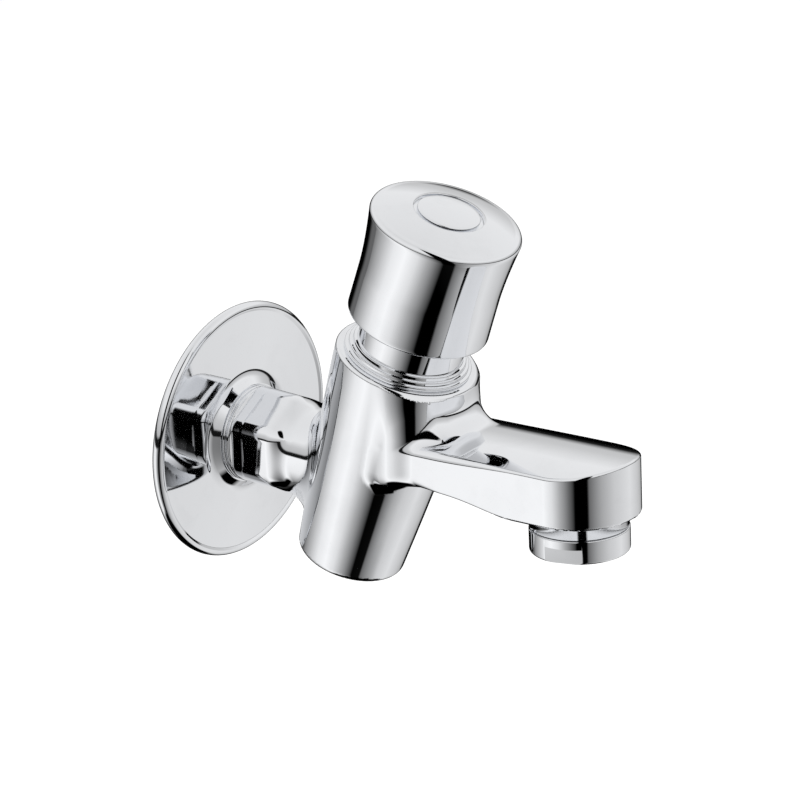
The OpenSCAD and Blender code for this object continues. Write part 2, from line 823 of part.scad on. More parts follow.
module cap_screw() {
    length = 9;
    color(steel)
        on_barrel()
            difference() {
                union() {
                    rod(cap_screw_r, cap_screw_head_w - length, cap_screw_head_w + 0.01);
                    rod(cap_screw_head_r, cap_screw_head_w, cap_screw_head_w + cap_screw_head_h);
                }
                translate([0, 0, cap_screw_head_w + 0.7])
                    cylinder(r = 1.7, h = cap_screw_head_h, $fn = 6);
            }
}

// Plastic hub that joins the cap to the spindle
module cap_insert() {
    disc_w = insert_top_w - insert_disc_t;
    color(white_plastic)
        on_barrel()
            difference() {
                union() {
                    rod(insert_hub_r, insert_bottom_w, insert_top_w);
                    rod(cap_bore_r - seat_gap, disc_w, insert_top_w);
                }
                rod(spindle_r + seat_gap, insert_bottom_w - eps, spindle_top_w + 0.1);
                rod(cap_screw_r + 0.2, spindle_top_w, insert_top_w + eps);
                for (i = [0:7])
                    rotate([0, 0, 45 * i])
                        translate([12.4, 0, disc_w - eps])
                            cylinder(r = 2.6, h = insert_disc_t - 1, $fn = 32);
            }
}

// Split ring in a groove of the spindle, with its gap at the front
module split_ring(groove_r, outer_r, bottom, top) {
    difference() {
        ring(outer_r, groove_r + seat_gap, bottom, top);
        translate([0, -groove_r * 0.7, bottom - eps])
            cube([outer_r + eps, groove_r * 1.4, top - bottom + 2 * eps]);
    }
}

module cap_circlip() {
    color(steel)
        on_barrel()
            split_ring(spindle_r - 0.5, spindle_r + 2.2, insert_bottom_w - circlip_t, insert_bottom_w);
}

module spindle() {
    color(steel)
        on_barrel()
            difference() {
                union() {
                    rod(spindle_tail_r, tail_end_w, washer_top_w + 0.01);
                    rod(spindle_core_r, washer_top_w, shoulder_w + 0.01);
                    rod(spindle_r, shoulder_w, spindle_top_w);
                }
                // Grooves for the two split rings
                ring(spindle_r + eps, spindle_core_r - 0.4,
                    piston_bottom_w - circlip_t - seat_gap, piston_bottom_w);
                ring(spindle_r + eps, spindle_r - 0.5,
                    insert_bottom_w - circlip_t - seat_gap, insert_bottom_w + seat_gap);
                // Tapped hole for the cap's screw
                rod(cap_screw_r + seat_gap, cap_screw_head_w - 10.5, spindle_top_w + eps);
            }
}

// Lip seal: its skirt opens upward and slows the button's return
module cup_seal() {
    w = piston_bottom_w + piston_t;
    outer_r = sleeve_bore_r - 0.1;
    color(rubber)
        on_barrel()
            rotate_extrude()
                polygon([
                    [spindle_core_r + seat_gap, w], [outer_r - 0.7, w], [outer_r - 0.3, w + 0.6],
                    [outer_r, w + cup_t], [outer_r - 0.8, w + cup_t], [outer_r - 1.5, w + 1.1],
                    [spindle_core_r + 1.4, w + 1.1], [spindle_core_r + 1.4, w + cup_t],
                    [spindle_core_r + seat_gap, w + cup_t]]);
}

module piston() {
    w = piston_bottom_w;
    color(brass)
        on_barrel()
            difference() {
                rod(sleeve_bore_r - 0.15, w, w + piston_t);
                rod(spindle_core_r + seat_gap, w - eps, w + piston_t + eps);
                translate([-bleed_hole_x, 0, w - eps])
                    cylinder(r = bleed_hole_r, h = piston_t + 2 * eps, $fn = 24);
                ring(sleeve_bore_r + eps, sleeve_bore_r - 0.9, w + 1.2, w + 2.3);
            }
}

module bleed_screw() {
    w = piston_bottom_w;
    color(brass)
        on_barrel()
            translate([-bleed_hole_x, 0, 0])
                difference() {
                    rod(bleed_hole_r - seat_gap, w + 0.3, w + piston_t - 0.1);
                    translate([-bleed_hole_r, -0.15, w])
                        cube([2 * bleed_hole_r, 0.3, 0.8]);
                }
}

module piston_circlip() {
    color(steel)
        on_barrel()
            split_ring(spindle_core_r - 0.4, spindle_core_r + 1.8,
                piston_bottom_w - circlip_t, piston_bottom_w);
}

module seat_washer() {
    color(rubber)
        on_barrel()
            ring(washer_r, spindle_tail_r + seat_gap, washer_bottom_w, washer_top_w);
}

module washer_retainer() {
    rim_h = washer_t / 2;
    color(brass)
        on_barrel()
            difference() {
                rod(washer_r + 0.8, washer_bottom_w - retainer_t, washer_bottom_w + rim_h);
                rod(washer_r + seat_gap, washer_bottom_w, washer_bottom_w + rim_h + eps);
                rod(spindle_tail_r + seat_gap, washer_bottom_w - retainer_t - eps, washer_bottom_w + eps);
            }
}

module retainer_nut() {
    nut_r = 4.2;
    color(brass)
        on_barrel()
            difference() {
                translate([0, 0, nut_top_w - nut_t])
                    cylinder(r = nut_r, h = nut_t, $fn = 6);
                rod(spindle_tail_r + seat_gap, nut_top_w - nut_t - eps, nut_top_w + eps);
            }
}

valve_body();
wall_flange();
inlet_strainer();
bonnet_nut();
bonnet_oring();
cartridge_sleeve();
sleeve_oring();
seat_gasket();
seat_ring();
gland_bush();
gland_oring();
spindle_oring();
return_spring();
aerator_housing();
aerator_gasket();
aerator_insert();
aerator_screen();
flow_regulator();
push_cap();
index_plate();
cap_screw();
cap_insert();
cap_circlip();
spindle();
cup_seal();
piston();
bleed_screw();
piston_circlip();
seat_washer();
washer_retainer();
retainer_nut();
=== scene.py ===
"""Wall-mounted basin tap with a self-closing push button: its casting, turned trim and finishes."""

import json
import math
from functools import partial

import bpy
import numpy as np
from mathutils import Matrix, Vector


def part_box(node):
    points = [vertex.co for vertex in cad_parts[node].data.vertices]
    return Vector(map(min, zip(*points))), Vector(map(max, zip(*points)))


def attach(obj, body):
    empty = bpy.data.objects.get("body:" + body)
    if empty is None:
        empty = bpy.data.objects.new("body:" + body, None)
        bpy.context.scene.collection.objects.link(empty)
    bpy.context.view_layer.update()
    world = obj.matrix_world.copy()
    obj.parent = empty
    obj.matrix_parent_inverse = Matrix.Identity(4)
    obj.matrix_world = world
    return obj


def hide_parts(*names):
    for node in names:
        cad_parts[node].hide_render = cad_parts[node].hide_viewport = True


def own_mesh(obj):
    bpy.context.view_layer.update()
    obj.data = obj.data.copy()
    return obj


bl_info = {
    "name": "Self-closing basin tap",
    "version": (1, 0, 0),
    "blender": (4, 5, 0),
    "location": "3D View > Sidebar > Basin Tap",
    "description": "Models and finishes the visible pieces of a wall-mounted push-button tap",
    "category": "Object",
}

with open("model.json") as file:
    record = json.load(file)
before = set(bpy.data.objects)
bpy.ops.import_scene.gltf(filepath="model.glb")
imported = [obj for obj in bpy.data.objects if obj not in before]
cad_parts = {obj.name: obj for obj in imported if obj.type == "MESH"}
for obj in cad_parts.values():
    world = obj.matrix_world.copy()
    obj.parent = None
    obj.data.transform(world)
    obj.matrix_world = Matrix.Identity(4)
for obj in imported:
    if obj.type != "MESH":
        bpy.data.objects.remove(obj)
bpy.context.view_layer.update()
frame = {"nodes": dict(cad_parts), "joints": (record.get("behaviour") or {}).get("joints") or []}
MM = 0.001
SAME_POINT = 1e-7
WELD = 2e-6
FIXED_BODY = "tap_body"
PRESS = frame["joints"][0]
BUTTON_BODY = PRESS["child"]
STROKE = PRESS["range_m"][1]
LEAN = math.atan2(-PRESS["axis"][0], -PRESS["axis"][2])
ORIGIN = Vector((0, 0, 0))
MIDDLE = Vector((0.055, 0, 0.01))
FLANGE_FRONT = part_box("wall_flange")[1].x
HEXAGON_START = FLANGE_FRONT + 2.2 * MM


def box_size(node, axis):
    """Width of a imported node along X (0), Y (1) or Z (2)."""
    low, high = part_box(node)
    return high[axis] - low[axis]


def length(name, description, default):
    """A size in metres that shows in the sidebar."""
    return bpy.props.FloatProperty(
        name=name, description=description, default=default, precision=5, subtype="DISTANCE",
        unit="LENGTH")


def angle(name, description, default):
    """An angle in radians that shows in degrees in the sidebar."""
    return bpy.props.FloatProperty(
        name=name, description=description, default=default, subtype="ANGLE", unit="ROTATION")


def colour(name, description, default):
    """A linear colour that shows as a swatch in the sidebar."""
    return bpy.props.FloatVectorProperty(
        name=name, description=description, default=default, size=3, min=0, max=1, subtype="COLOR")


def amount(name, description, default):
    """A plain share from 0 to 1."""
    return bpy.props.FloatProperty(
        name=name, description=description, default=default, min=0, max=1, subtype="FACTOR")


class TapCastingSizes(bpy.types.PropertyGroup):
    """Sizes of the one-piece casting"""
    barrel_x: length("Barrel distance", "From the wall to the barrel axis, on the inlet centreline", 0.048)
    barrel_lean: angle("Barrel lean", "Forward lean of the barrel axis", LEAN)
    mouth_d: length("Mouth diameter", "Diameter of the barrel at its mouth", 0.0379)
    foot_d: length("Foot diameter", "Diameter of the barrel at its foot", 0.0286)
    mouth_w: length("Mouth height", "Height of the mouth along the barrel axis", 0.0345)
    foot_w: length("Foot depth", "Depth of the foot along the barrel axis", 0.0277)
    spout_reach: length("Spout reach", "From the wall to the nozzle axis", 0.1135)
    spout_lean: angle("Spout slope", "Upward slope of the spout", math.radians(2.8))
    spout_w: length("Spout width", "Width of the spout", 0.0325)
    spout_top: length("Spout top", "Height of the spout's top at the nozzle", 0.019)
    spout_under: length("Spout underside", "Height of the spout's underside at the nozzle", 0.0033)
    arch_rise: length("Arch rise", "Rise of the arch under the spout", 0.0032)
    root_x: length("Root front", "Front of the spout's root, from the wall", 0.075)
    crown_r: length("Crown radius", "Radius of the crown across the spout's top", 0.062)
    hex_width: length("Hexagon width", "Width of the hexagon across its flats", 0.0252)
    hex_length: length("Hexagon length", "Length of the hexagon", 0.017)
    hex_turn: angle("Hexagon turn", "Turn of the hexagon round the inlet axis", math.radians(3))
    neck_d: length("Neck diameter", "Diameter of the waist behind the barrel", 0.023)
    collar_d: length("Collar diameter", "Diameter of the two collars at the flange", 0.026)
    thread_d: length("Thread diameter", "Outer diameter of the inlet thread", 0.020955)
    thread_pitch: length("Thread pitch", "Pitch of the inlet thread", 0.001814)
    thread_length: length("Thread length", "Length of the thread behind the wall plane", 0.015)


class TapTrimSizes(bpy.types.PropertyGroup):
    """Sizes of the turned and pressed pieces"""
    flange_d: length("Flange diameter", "Outer diameter of the wall flange", box_size("wall_flange", 1))
    flange_rim: length("Flange rim", "Depth of the flange's rolled rim", 0.0034)
    flange_depth: length("Flange depth", "From the wall to the inlet collar", FLANGE_FRONT)
    bonnet_d: length("Bonnet diameter", "Diameter of the bonnet's stepped ring", 0.0338)
    sleeve_d: length("Sleeve diameter", "Diameter of the sleeve under the cap", 0.0282)
    cap_rim_d: length("Cap rim diameter", "Diameter of the cap at its top rim", 0.040)
    cap_waist_d: length("Cap waist diameter", "Diameter of the cap at its waist", 0.0372)
    cap_bottom_w: length("Cap bottom", "Height of the cap's lower edge along the barrel axis", 0.0455)
    cap_height: length("Cap height", "Height of the cap's side", 0.0305)
    cap_dome: length("Cap dome", "Rise of the dome on the cap", 0.003)
    index_d: length("Index diameter", "Diameter of the recess round the index plate", 0.0186)
    aerator_d: length("Aerator diameter", "Diameter of the aerator's housing", 0.026)
    aerator_flats: length("Aerator flats", "Width across the wrench flats", 0.024)
    aerator_turn: angle("Aerator turn", "Turn of the wrench flats", math.radians(15))
    spring_d: length("Spring diameter", "Diameter of the return spring at the wire's centre", 0.012)
    spring_wire: length("Spring wire", "Diameter of the spring's wire", 0.001)


class TapFinish(bpy.types.PropertyGroup):
    """Colours and gloss of the finishes"""
    chrome: colour("Chrome", "Polished chromium plate", (0.87, 0.88, 0.9))
    brass: colour("Brass", "Bare turned brass", (0.72, 0.52, 0.22))
    steel: colour("Steel", "Bright stainless steel", (0.62, 0.62, 0.64))
    rubber: colour("Rubber", "Moulded black rubber", (0.02, 0.02, 0.022))
    white_plastic: colour("White plastic", "Moulded white plastic", (0.8, 0.8, 0.77))
    grey_plastic: colour("Grey plastic", "Moulded grey plastic", (0.24, 0.26, 0.29))
    chrome_roughness: amount("Chrome roughness", "Roughness of the polished plate", 0.035)


class TapStudio(bpy.types.PropertyGroup):
    """Camera and studio"""
    camera_side: angle("Camera side", "Direction of the camera round the tap", math.radians(37.52))
    camera_height: angle("Camera height", "Elevation of the camera", math.radians(20.59))
    camera_roll: angle("Camera roll", "Turn of the camera about its own line of sight", math.radians(0.1))
    camera_distance: length("Camera distance", "From the camera to the middle of the tap", 1.13)
    floor_z: length("Floor height", "Height of the floor under the tap", -0.25)
    light_level: amount("Light level", "Level of the surroundings on plain surfaces", 0.72)


def place_on_barrel(sizes):
    """Local Z along the barrel axis, from where it crosses the inlet centreline."""
    return Matrix.Translation((sizes.barrel_x, 0, 0)) @ Matrix.Rotation(sizes.barrel_lean, 4, "Y")


def place_on_nozzle(sizes):
    """Local Z up the nozzle axis, local X along the spout."""
    return Matrix.Translation((sizes.spout_reach, 0, 0)) @ Matrix.Rotation(-sizes.spout_lean, 4, "Y")


def place_on_inlet():
    """Local Z along the inlet, out of the wall."""
    return Matrix.Rotation(math.pi / 2, 4, "Y")


def in_metres(*points):
    """Outline points that are written in millimetres, in metres."""
    return [tuple(value * MM for value in point) for point in points]


def rounded(corners, steps=5):
    """Points of an outline whose corners are (radius, height) or (radius, height, rounding)."""
    points = []
    for i, corner in enumerate(corners):
        here = Vector(corner[:2])
        if len(corner) < 3:
            points.append(here)
            continue
        before = (Vector(corners[i - 1][:2]) - here).normalized()
        after = (Vector(corners[(i + 1) % len(corners)][:2]) - here).normalized()
        half = before.angle(after) / 2
        centre = here + (before + after).normalized() * corner[2] / math.sin(half)
        first = (here + before * corner[2] / math.tan(half) - centre).normalized()
        last = (here + after * corner[2] / math.tan(half) - centre).normalized()
        for k in range(steps + 1):
            points.append(centre + first.slerp(last, k / steps) * corner[2])
    return points


def arc(centre, radius, start, end, steps):
    """Points of an arc from one angle to another, in degrees."""
    turn = [math.radians(start + (end - start) * k / steps) for k in range(steps + 1)]
    return [Vector((centre[0] + radius * math.cos(a), centre[1] + radius * math.sin(a))) for a in turn]


def deselect():
    """Leaves nothing selected, so that an operator acts on the next piece alone."""
    bpy.ops.object.select_all(action="DESELECT")


def only(piece):
    """Leaves this piece alone selected and active, in object mode."""
    if bpy.context.object and bpy.context.object.mode != "OBJECT":
        bpy.ops.object.mode_set(mode="OBJECT")
    deselect()
    piece.select_set(True)
    bpy.context.view_layer.objects.active = piece


def named(name):
    """Names the piece that was just added."""
    piece = bpy.context.object
    piece.name = name
    piece.data.name = name
    return piece


def settle_place(piece, place):
    """Moves a piece to its place and leaves that place in its mesh."""
    only(piece)
    piece.matrix_world = place
    bpy.ops.object.transform_apply()
    return piece


def apply(piece, kind, **values):
    """Adds a modifier, sets it and applies it."""
    only(piece)
    modifier = piece.modifiers.new(kind.title(), kind)
    for key, value in values.items():
        setattr(modifier, key, value)
    bpy.ops.object.modifier_apply(modifier=modifier.name)


def cut(piece, tool, operation="DIFFERENCE"):
    """Cuts a piece with a closed tool, or joins them, and removes the tool."""
    apply(piece, "BOOLEAN", object=tool, operation=operation, solver="MANIFOLD")
    bpy.data.objects.remove(tool)
    return piece


def turned(name, outline, place, closed=True, steps=192):
    """Spins an outline of (radius, height) points round the local Z axis."""
    deselect()
    bpy.ops.mesh.primitive_plane_add(size=MM)
    piece = named(name)
    bpy.ops.object.mode_set(mode="EDIT")
    bpy.ops.mesh.select_mode(type="VERT")
    bpy.ops.mesh.merge(type="CENTER")
    at = ORIGIN.copy()
    for i, point in enumerate(list(outline) + list(outline[:1] if closed else [])):
        step = Vector((point[0], 0, point[1])) - at
        if i == 0:
            bpy.ops.transform.translate(value=step)
        elif step.length > SAME_POINT:
            bpy.ops.mesh.extrude_region_move(TRANSFORM_OT_translate={"value": step})
        at += step
    bpy.ops.mesh.select_all(action="SELECT")
    bpy.ops.mesh.spin(steps=steps, angle=2 * math.pi, center=ORIGIN, axis=(0, 0, 1))
    bpy.ops.mesh.select_all(action="SELECT")
    bpy.ops.mesh.remove_doubles(threshold=WELD)
    bpy.ops.mesh.normals_make_consistent(inside=False)
    bpy.ops.object.mode_set(mode="OBJECT")
    return settle_place(piece, place)


def block(name, size, middle):
    """Box of a given size round its middle, as a tool that cuts."""
    deselect()
    bpy.ops.mesh.primitive_cube_add(size=1)
    piece = named(name)
    piece.scale = size
    piece.location = middle
    bpy.ops.object.transform_apply()
    return piece


def smooth(piece, limit=32, weighted=True):
    """Smooth shading with real edges kept, and large faces kept flat."""
    only(piece)
    bpy.ops.object.shade_smooth_by_angle(angle=math.radians(limit))
    if weighted:
        apply(piece, "WEIGHTED_NORMAL", keep_sharp=True, weight=80)


def hand_over(piece, material, slot, body, *nodes):
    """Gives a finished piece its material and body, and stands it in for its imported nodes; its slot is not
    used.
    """
    piece.data.materials.clear()
    piece.data.materials.append(material)
    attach(piece, body)
    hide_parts(*nodes)


def plated(piece, body, node, limit=32):
    """Smooths a turned piece and hands it over in chrome."""
    smooth(piece, limit)
    hand_over(piece, chrome(bpy.context.scene.tap_finish), "chrome", body, node)


# Fields of distance, in metres, that the casting's skin settles on
def filleted(a, b, r, lean):
    """Union of two fields with a fillet of radius r; lean is the cosine between their normals."""
    u, v = r - a, r - b
    inside = (u - lean * v > 0) & (v - lean * u > 0)
    span = np.sqrt(np.maximum(u * u + v * v - 2 * u * v * lean, 0) / np.maximum(1 - lean * lean, 1e-4))
    return np.where(inside, np.minimum(r - span, np.minimum(a, b)), np.minimum(a, b))


def round_cut(a, b, r):
    """Common part of two fields, with the edge where they meet rounded to radius r."""
    return np.minimum(-r, np.maximum(a, b)) + np.hypot(np.maximum(r + a, 0), np.maximum(r + b, 0))


def eased(value, start, run):
    """Smooth share, 0 to 1, that a value has made of a run from its start, both in millimetres."""
    t = np.clip((value - start * MM) / (run * MM), 0, 1)
    return t * t * (3 - 2 * t)


def in_place(points, place):
    """Points of the row frame, in the frame of a place."""
    local = np.array(place.inverted())
    return points @ local[:3, :3].T + local[:3, 3]


def barrel_radius(sizes, w):
    """Outside radius of the barrel at height w on its axis: straight at the lip, then narrower."""
    lip = 0.9 * MM
    full = sizes.mouth_w + sizes.foot_w - lip
    share = np.clip((sizes.mouth_w - lip - w) / full, 0, 1)
    return sizes.mouth_d / 2 - (sizes.mouth_d - sizes.foot_d) / 2 * share ** 1.25


def barrel_field(sizes, points):
    """Barrel with a rounded lip and foot; slope is the cosine of its taper."""
    slope, lip_round, foot_round = 0.995, 1.0 * MM, 1.6 * MM
    p = in_place(points, place_on_barrel(sizes))
    side = (np.hypot(p[:, 0], p[:, 1]) - barrel_radius(sizes, p[:, 2])) * slope
    field = round_cut(side, p[:, 2] - sizes.mouth_w, lip_round)
    return round_cut(field, -sizes.foot_w - p[:, 2], foot_round)


def spout_plan(sizes, points, p):
    """Distance from the spout's side in plan, from points of the row frame and of the nozzle's (p):
    a round tip, then straight sides that widen at the root and narrow again inside the barrel."""
    x = points[:, 0]
    wider = 0.3 * MM * eased(x, 71, -12)
    inside = 3.5 * MM * eased(x, 62, -13)
    half = sizes.spout_w / 2 - 0.25 * MM + wider - inside
    return np.where(p[:, 0] < 0, np.abs(p[:, 1]), np.hypot(p[:, 0], p[:, 1])) - half


def arch_height(sizes, x):
    """Height of the spout's underside in the nozzle's frame: flat at the tip, then an arch."""
    start = -10 * MM
    run = sizes.spout_reach - sizes.barrel_x - 24 * MM
    turn = np.radians(150) * np.clip((start - x) / run, 0, 1)
    return sizes.spout_under + sizes.arch_rise * np.sin(turn) ** 1.4


def blended(a, b, r):
    """Union of two fields with a hollow of radius r where they meet at a right angle."""
    return np.maximum(r, np.minimum(a, b)) - np.hypot(np.maximum(r - a, 0), np.maximum(r - b, 0))


def merged(a, b, k):
    """Union of two fields that meet at a shallow angle, eased over the width k."""
    return np.minimum(a, b) - np.maximum(k - np.abs(a - b), 0) ** 2 / (4 * k)


def root_plan(sizes, points):
    """Root of the spout in plan: flush sides, and corners that are rounder higher up the barrel."""
    flush = sizes.spout_w / 2 + 1.15 * MM
    side = flush - 4.8 * MM * eased(points[:, 0], 65, -16)
    above_top = np.maximum(points[:, 2] - 17 * MM, 0)
    corner = 11 * MM + 0.18 * above_top
    x = points[:, 0] - sizes.root_x + corner
    y = np.abs(points[:, 1]) - side + corner
    return np.hypot(np.maximum(x, 0), np.maximum(y, 0)) + np.minimum(np.maximum(x, y), 0) - corner


def spout_field(sizes, points):
    """Spout with a crowned top, an arched underside and a round tip, on its root."""
    x = points[:, 0]
    p = in_place(points, place_on_nozzle(sizes))
    w = in_place(points, place_on_barrel(sizes))[:, 2]
    plan = spout_plan(sizes, points, p)
    top = np.hypot(p[:, 1], p[:, 2] - sizes.spout_top + sizes.crown_r) - sizes.crown_r
    under = arch_height(sizes, p[:, 0]) - p[:, 2]
    top_edge = 0.6 * MM + 1.2 * MM * eased(x, 108, -30)
    under_edge = 0.8 * MM + 3.5 * MM * eased(x, 82, -16)
    hollow = 1.4 * MM + 5.6 * MM * eased(np.abs(points[:, 1]), 16.6, -8)
    below_mouth = w - sizes.mouth_w + 1.5 * MM
    root = np.maximum(root_plan(sizes, points), below_mouth)
    field = blended(round_cut(plan, top, top_edge), root, hollow)
    return np.maximum(round_cut(field, under, under_edge), sizes.barrel_x - x)


def root_radius(points):
    """Radius of the fillet under the spout: it fades out above the underside."""
    return 5 * MM * (1 - eased(points[:, 2], 6, 8)) + 0.01 * MM


def hexagon_field(sizes, points):
    """Hexagon with soft corners and ends, as forged and polished."""
    corner_round, front_round, back_round = 2.2 * MM, 4.5 * MM, 1.8 * MM
    x = points[:, 0] - HEXAGON_START
    turn = np.arctan2(points[:, 1], points[:, 2]) + sizes.hex_turn
    across = np.hypot(points[:, 1], points[:, 2])
    faces = None
    for k in range(3):
        face = np.abs(across * np.cos(turn - math.radians(60 * k + 30))) - sizes.hex_width / 2
        faces = face if faces is None else round_cut(faces, face, corner_round)
    field = round_cut(faces, x - sizes.hex_length, front_round)
    return round_cut(field, -x, back_round)


def neck_field(sizes, points):
    """Round waist, with the hexagon behind it."""
    x, inside_hexagon = points[:, 0], 15 * MM
    tube = np.hypot(points[:, 1], points[:, 2]) - sizes.neck_d / 2
    tube = np.maximum(tube, np.maximum(inside_hexagon - x, x - sizes.barrel_x))
    return merged(tube, hexagon_field(sizes, points), 3 * MM)


def body_leans(sizes, points):
    """Cosines between the normals of barrel and spout, and of barrel and neck."""
    barrel, spout, neck = (
        normals_of(partial(field, sizes), points) for field in (barrel_field, spout_field, neck_field))
    return (barrel * spout).sum(axis=1), (barrel * neck).sum(axis=1)


def body_field(sizes, points, leans):
    """Barrel, spout, neck and hexagon in one skin; leans are what body_leans gives."""
    barrel = barrel_field(sizes, points)
    spout = spout_field(sizes, points)
    spouted = filleted(barrel, spout, root_radius(points), leans[0])
    spouted = np.minimum(spouted, merged(barrel, spout, 2 * MM))
    necked = filleted(barrel, neck_field(sizes, points), 5.5 * MM, leans[1])
    return np.minimum(spouted, necked)


def slope_of(field, points):
    """Gradient of a field at each point."""
    reach = 0.02 * MM
    steps = reach * np.eye(3)
    return np.stack([(field(points + step) - field(points - step)) / (2 * reach) for step in steps], axis=1)


def normals_of(field, points):
    """Unit normals of a field at each point."""
    slope = slope_of(field, points)
    return slope / np.maximum(np.linalg.norm(slope, axis=1, keepdims=True), 1e-6)


def places(items, key):
    """Places of a mesh's vertices ("co") or of its faces' middles ("center"), one row each."""
    points = np.zeros(len(items) * 3)
    items.foreach_get(key, points)
    return points.reshape(-1, 3)


def settle_skin(piece, field, leans, rounds=3):
    """Moves each vertex onto the surface where the field is zero, and evens the mesh between moves."""
    longest = 0.6 * MM
    least_strength = 0.2
    for k in range(rounds):
        if k:
            apply(piece, "SMOOTH", factor=0.5, iterations=2)
        points = places(piece.data.vertices, "co")
        for _ in range(4 if k in (0, rounds - 1) else 2):
            between = leans(points)
            slope = slope_of(partial(field, leans=between), points)
            strength = np.maximum((slope ** 2).sum(axis=1), least_strength)
            step = (field(points, between) / strength)[:, None] * slope
            size = np.linalg.norm(step, axis=1, keepdims=True)
            points -= step * np.minimum(1, longest / np.maximum(size, 1e-9))
        piece.data.vertices.foreach_set("co", points.ravel())
        piece.data.update()
    return piece


def refine(piece, chosen):
    """Divides the faces of a skin whose middles are chosen."""
    only(piece)
    picks = chosen(places(piece.data.polygons, "center"))
    bpy.ops.object.mode_set(mode="EDIT")
    bpy.ops.mesh.select_mode(type="FACE")
    bpy.ops.mesh.select_all(action="DESELECT")
    bpy.ops.object.mode_set(mode="OBJECT")
    piece.data.polygons.foreach_set("select", picks)
    bpy.ops.object.mode_set(mode="EDIT")
    bpy.ops.mesh.subdivide(number_cuts=1, quadcorner="INNERVERT")
    bpy.ops.object.mode_set(mode="OBJECT")


def near_edges(sizes, points):
    """Places where the casting turns sharply: the hexagon, the spout's edges and the lip."""
    root_end, hexagon_end = 66 * MM, 27 * MM
    p = in_place(points, place_on_nozzle(sizes))
    plan = spout_plan(sizes, points, p)
    low = (plan > -1.1 * MM) & (p[:, 2] < arch_height(sizes, p[:, 0]) + 1.1 * MM)
    high = (plan > -1.3 * MM) & (p[:, 2] > sizes.spout_top - 3.6 * MM)
    edges = (points[:, 0] > root_end) & (low | high)
    lip = in_place(points, place_on_barrel(sizes))[:, 2] > sizes.mouth_w - 1.4 * MM
    hexagon = (points[:, 0] > HEXAGON_START) & (points[:, 0] < hexagon_end)
    return edges | lip | hexagon


def true_normals(piece, field, leans):
    """Gives the vertices that lie on the casting's surface the exact normals of that surface."""
    points = places(piece.data.vertices, "co")
    between = leans(points)
    on_skin = np.abs(field(points, between)) < 0.01 * MM
    normals = normals_of(partial(field, leans=between), points)
    normals[~on_skin] = 0
    piece.data.normals_split_custom_set_from_vertices(normals)


def remeshed(piece, size):
    """Makes one even skin of overlapping blocks, with cells of a given size."""
    only(piece)
    piece.data.remesh_voxel_size = size
    piece.data.use_remesh_preserve_volume = False
    bpy.ops.object.voxel_remesh()
    return piece


def joined(name, *pieces):
    """Puts several pieces into the first one."""
    only(pieces[0])
    for piece in pieces:
        piece.select_set(True)
    bpy.ops.object.join()
    return named(name)


def rough_spout(sizes):
    """Block of the spout, a little inside its surface: half a cylinder, extruded to the barrel."""
    top = sizes.spout_top - 0.8 * MM
    bottom = sizes.spout_under + 1.5 * MM
    deselect()
    bpy.ops.mesh.primitive_cylinder_add(
        vertices=96, radius=sizes.spout_w / 2, depth=top - bottom, location=(0, 0, (top + bottom) / 2))
    piece = named("rough_spout")
    bpy.ops.object.transform_apply()
    bpy.ops.object.mode_set(mode="EDIT")
    bpy.ops.mesh.select_all(action="SELECT")
    bpy.ops.mesh.bisect(plane_co=ORIGIN, plane_no=(1, 0, 0), clear_inner=True)
    bpy.ops.mesh.edge_face_add()
    bpy.ops.mesh.extrude_region_move(
        TRANSFORM_OT_translate={"value": (sizes.barrel_x - sizes.spout_reach, 0, 0)})
    bpy.ops.object.mode_set(mode="OBJECT")
    return piece


def casting_body(sizes, field, leans):
    """Barrel, spout, neck and hexagon as one fine skin, laid out square to the spout."""
    to_spout = place_on_nozzle(sizes).inverted()
    heights = np.linspace(-sizes.foot_w, sizes.mouth_w, 14)
    outline = [(0, -sizes.foot_w)] + [(float(barrel_radius(sizes, w)), float(w)) for w in heights]
    outline.append((0, sizes.mouth_w))
    barrel = turned("rough_barrel", outline, to_spout @ place_on_barrel(sizes), closed=False, steps=96)
    end = HEXAGON_START + sizes.hex_length
    hex_r = sizes.hex_width / 2 + 0.6 * MM
    neck_r = sizes.neck_d / 2
    behind = [(0, HEXAGON_START), (hex_r, HEXAGON_START), (hex_r, end - 2 * MM), (neck_r, end + MM),
              (neck_r, sizes.barrel_x), (0, sizes.barrel_x)]
    neck = turned("rough_neck", behind, to_spout @ place_on_inlet(), closed=False, steps=96)
    body = joined("casting", barrel, neck, rough_spout(sizes))
    remeshed(body, 0.65 * MM)
    settle_place(body, place_on_nozzle(sizes))
    settle_skin(body, field, leans)
    refine(body, partial(near_edges, sizes))
    return settle_skin(body, field, leans)


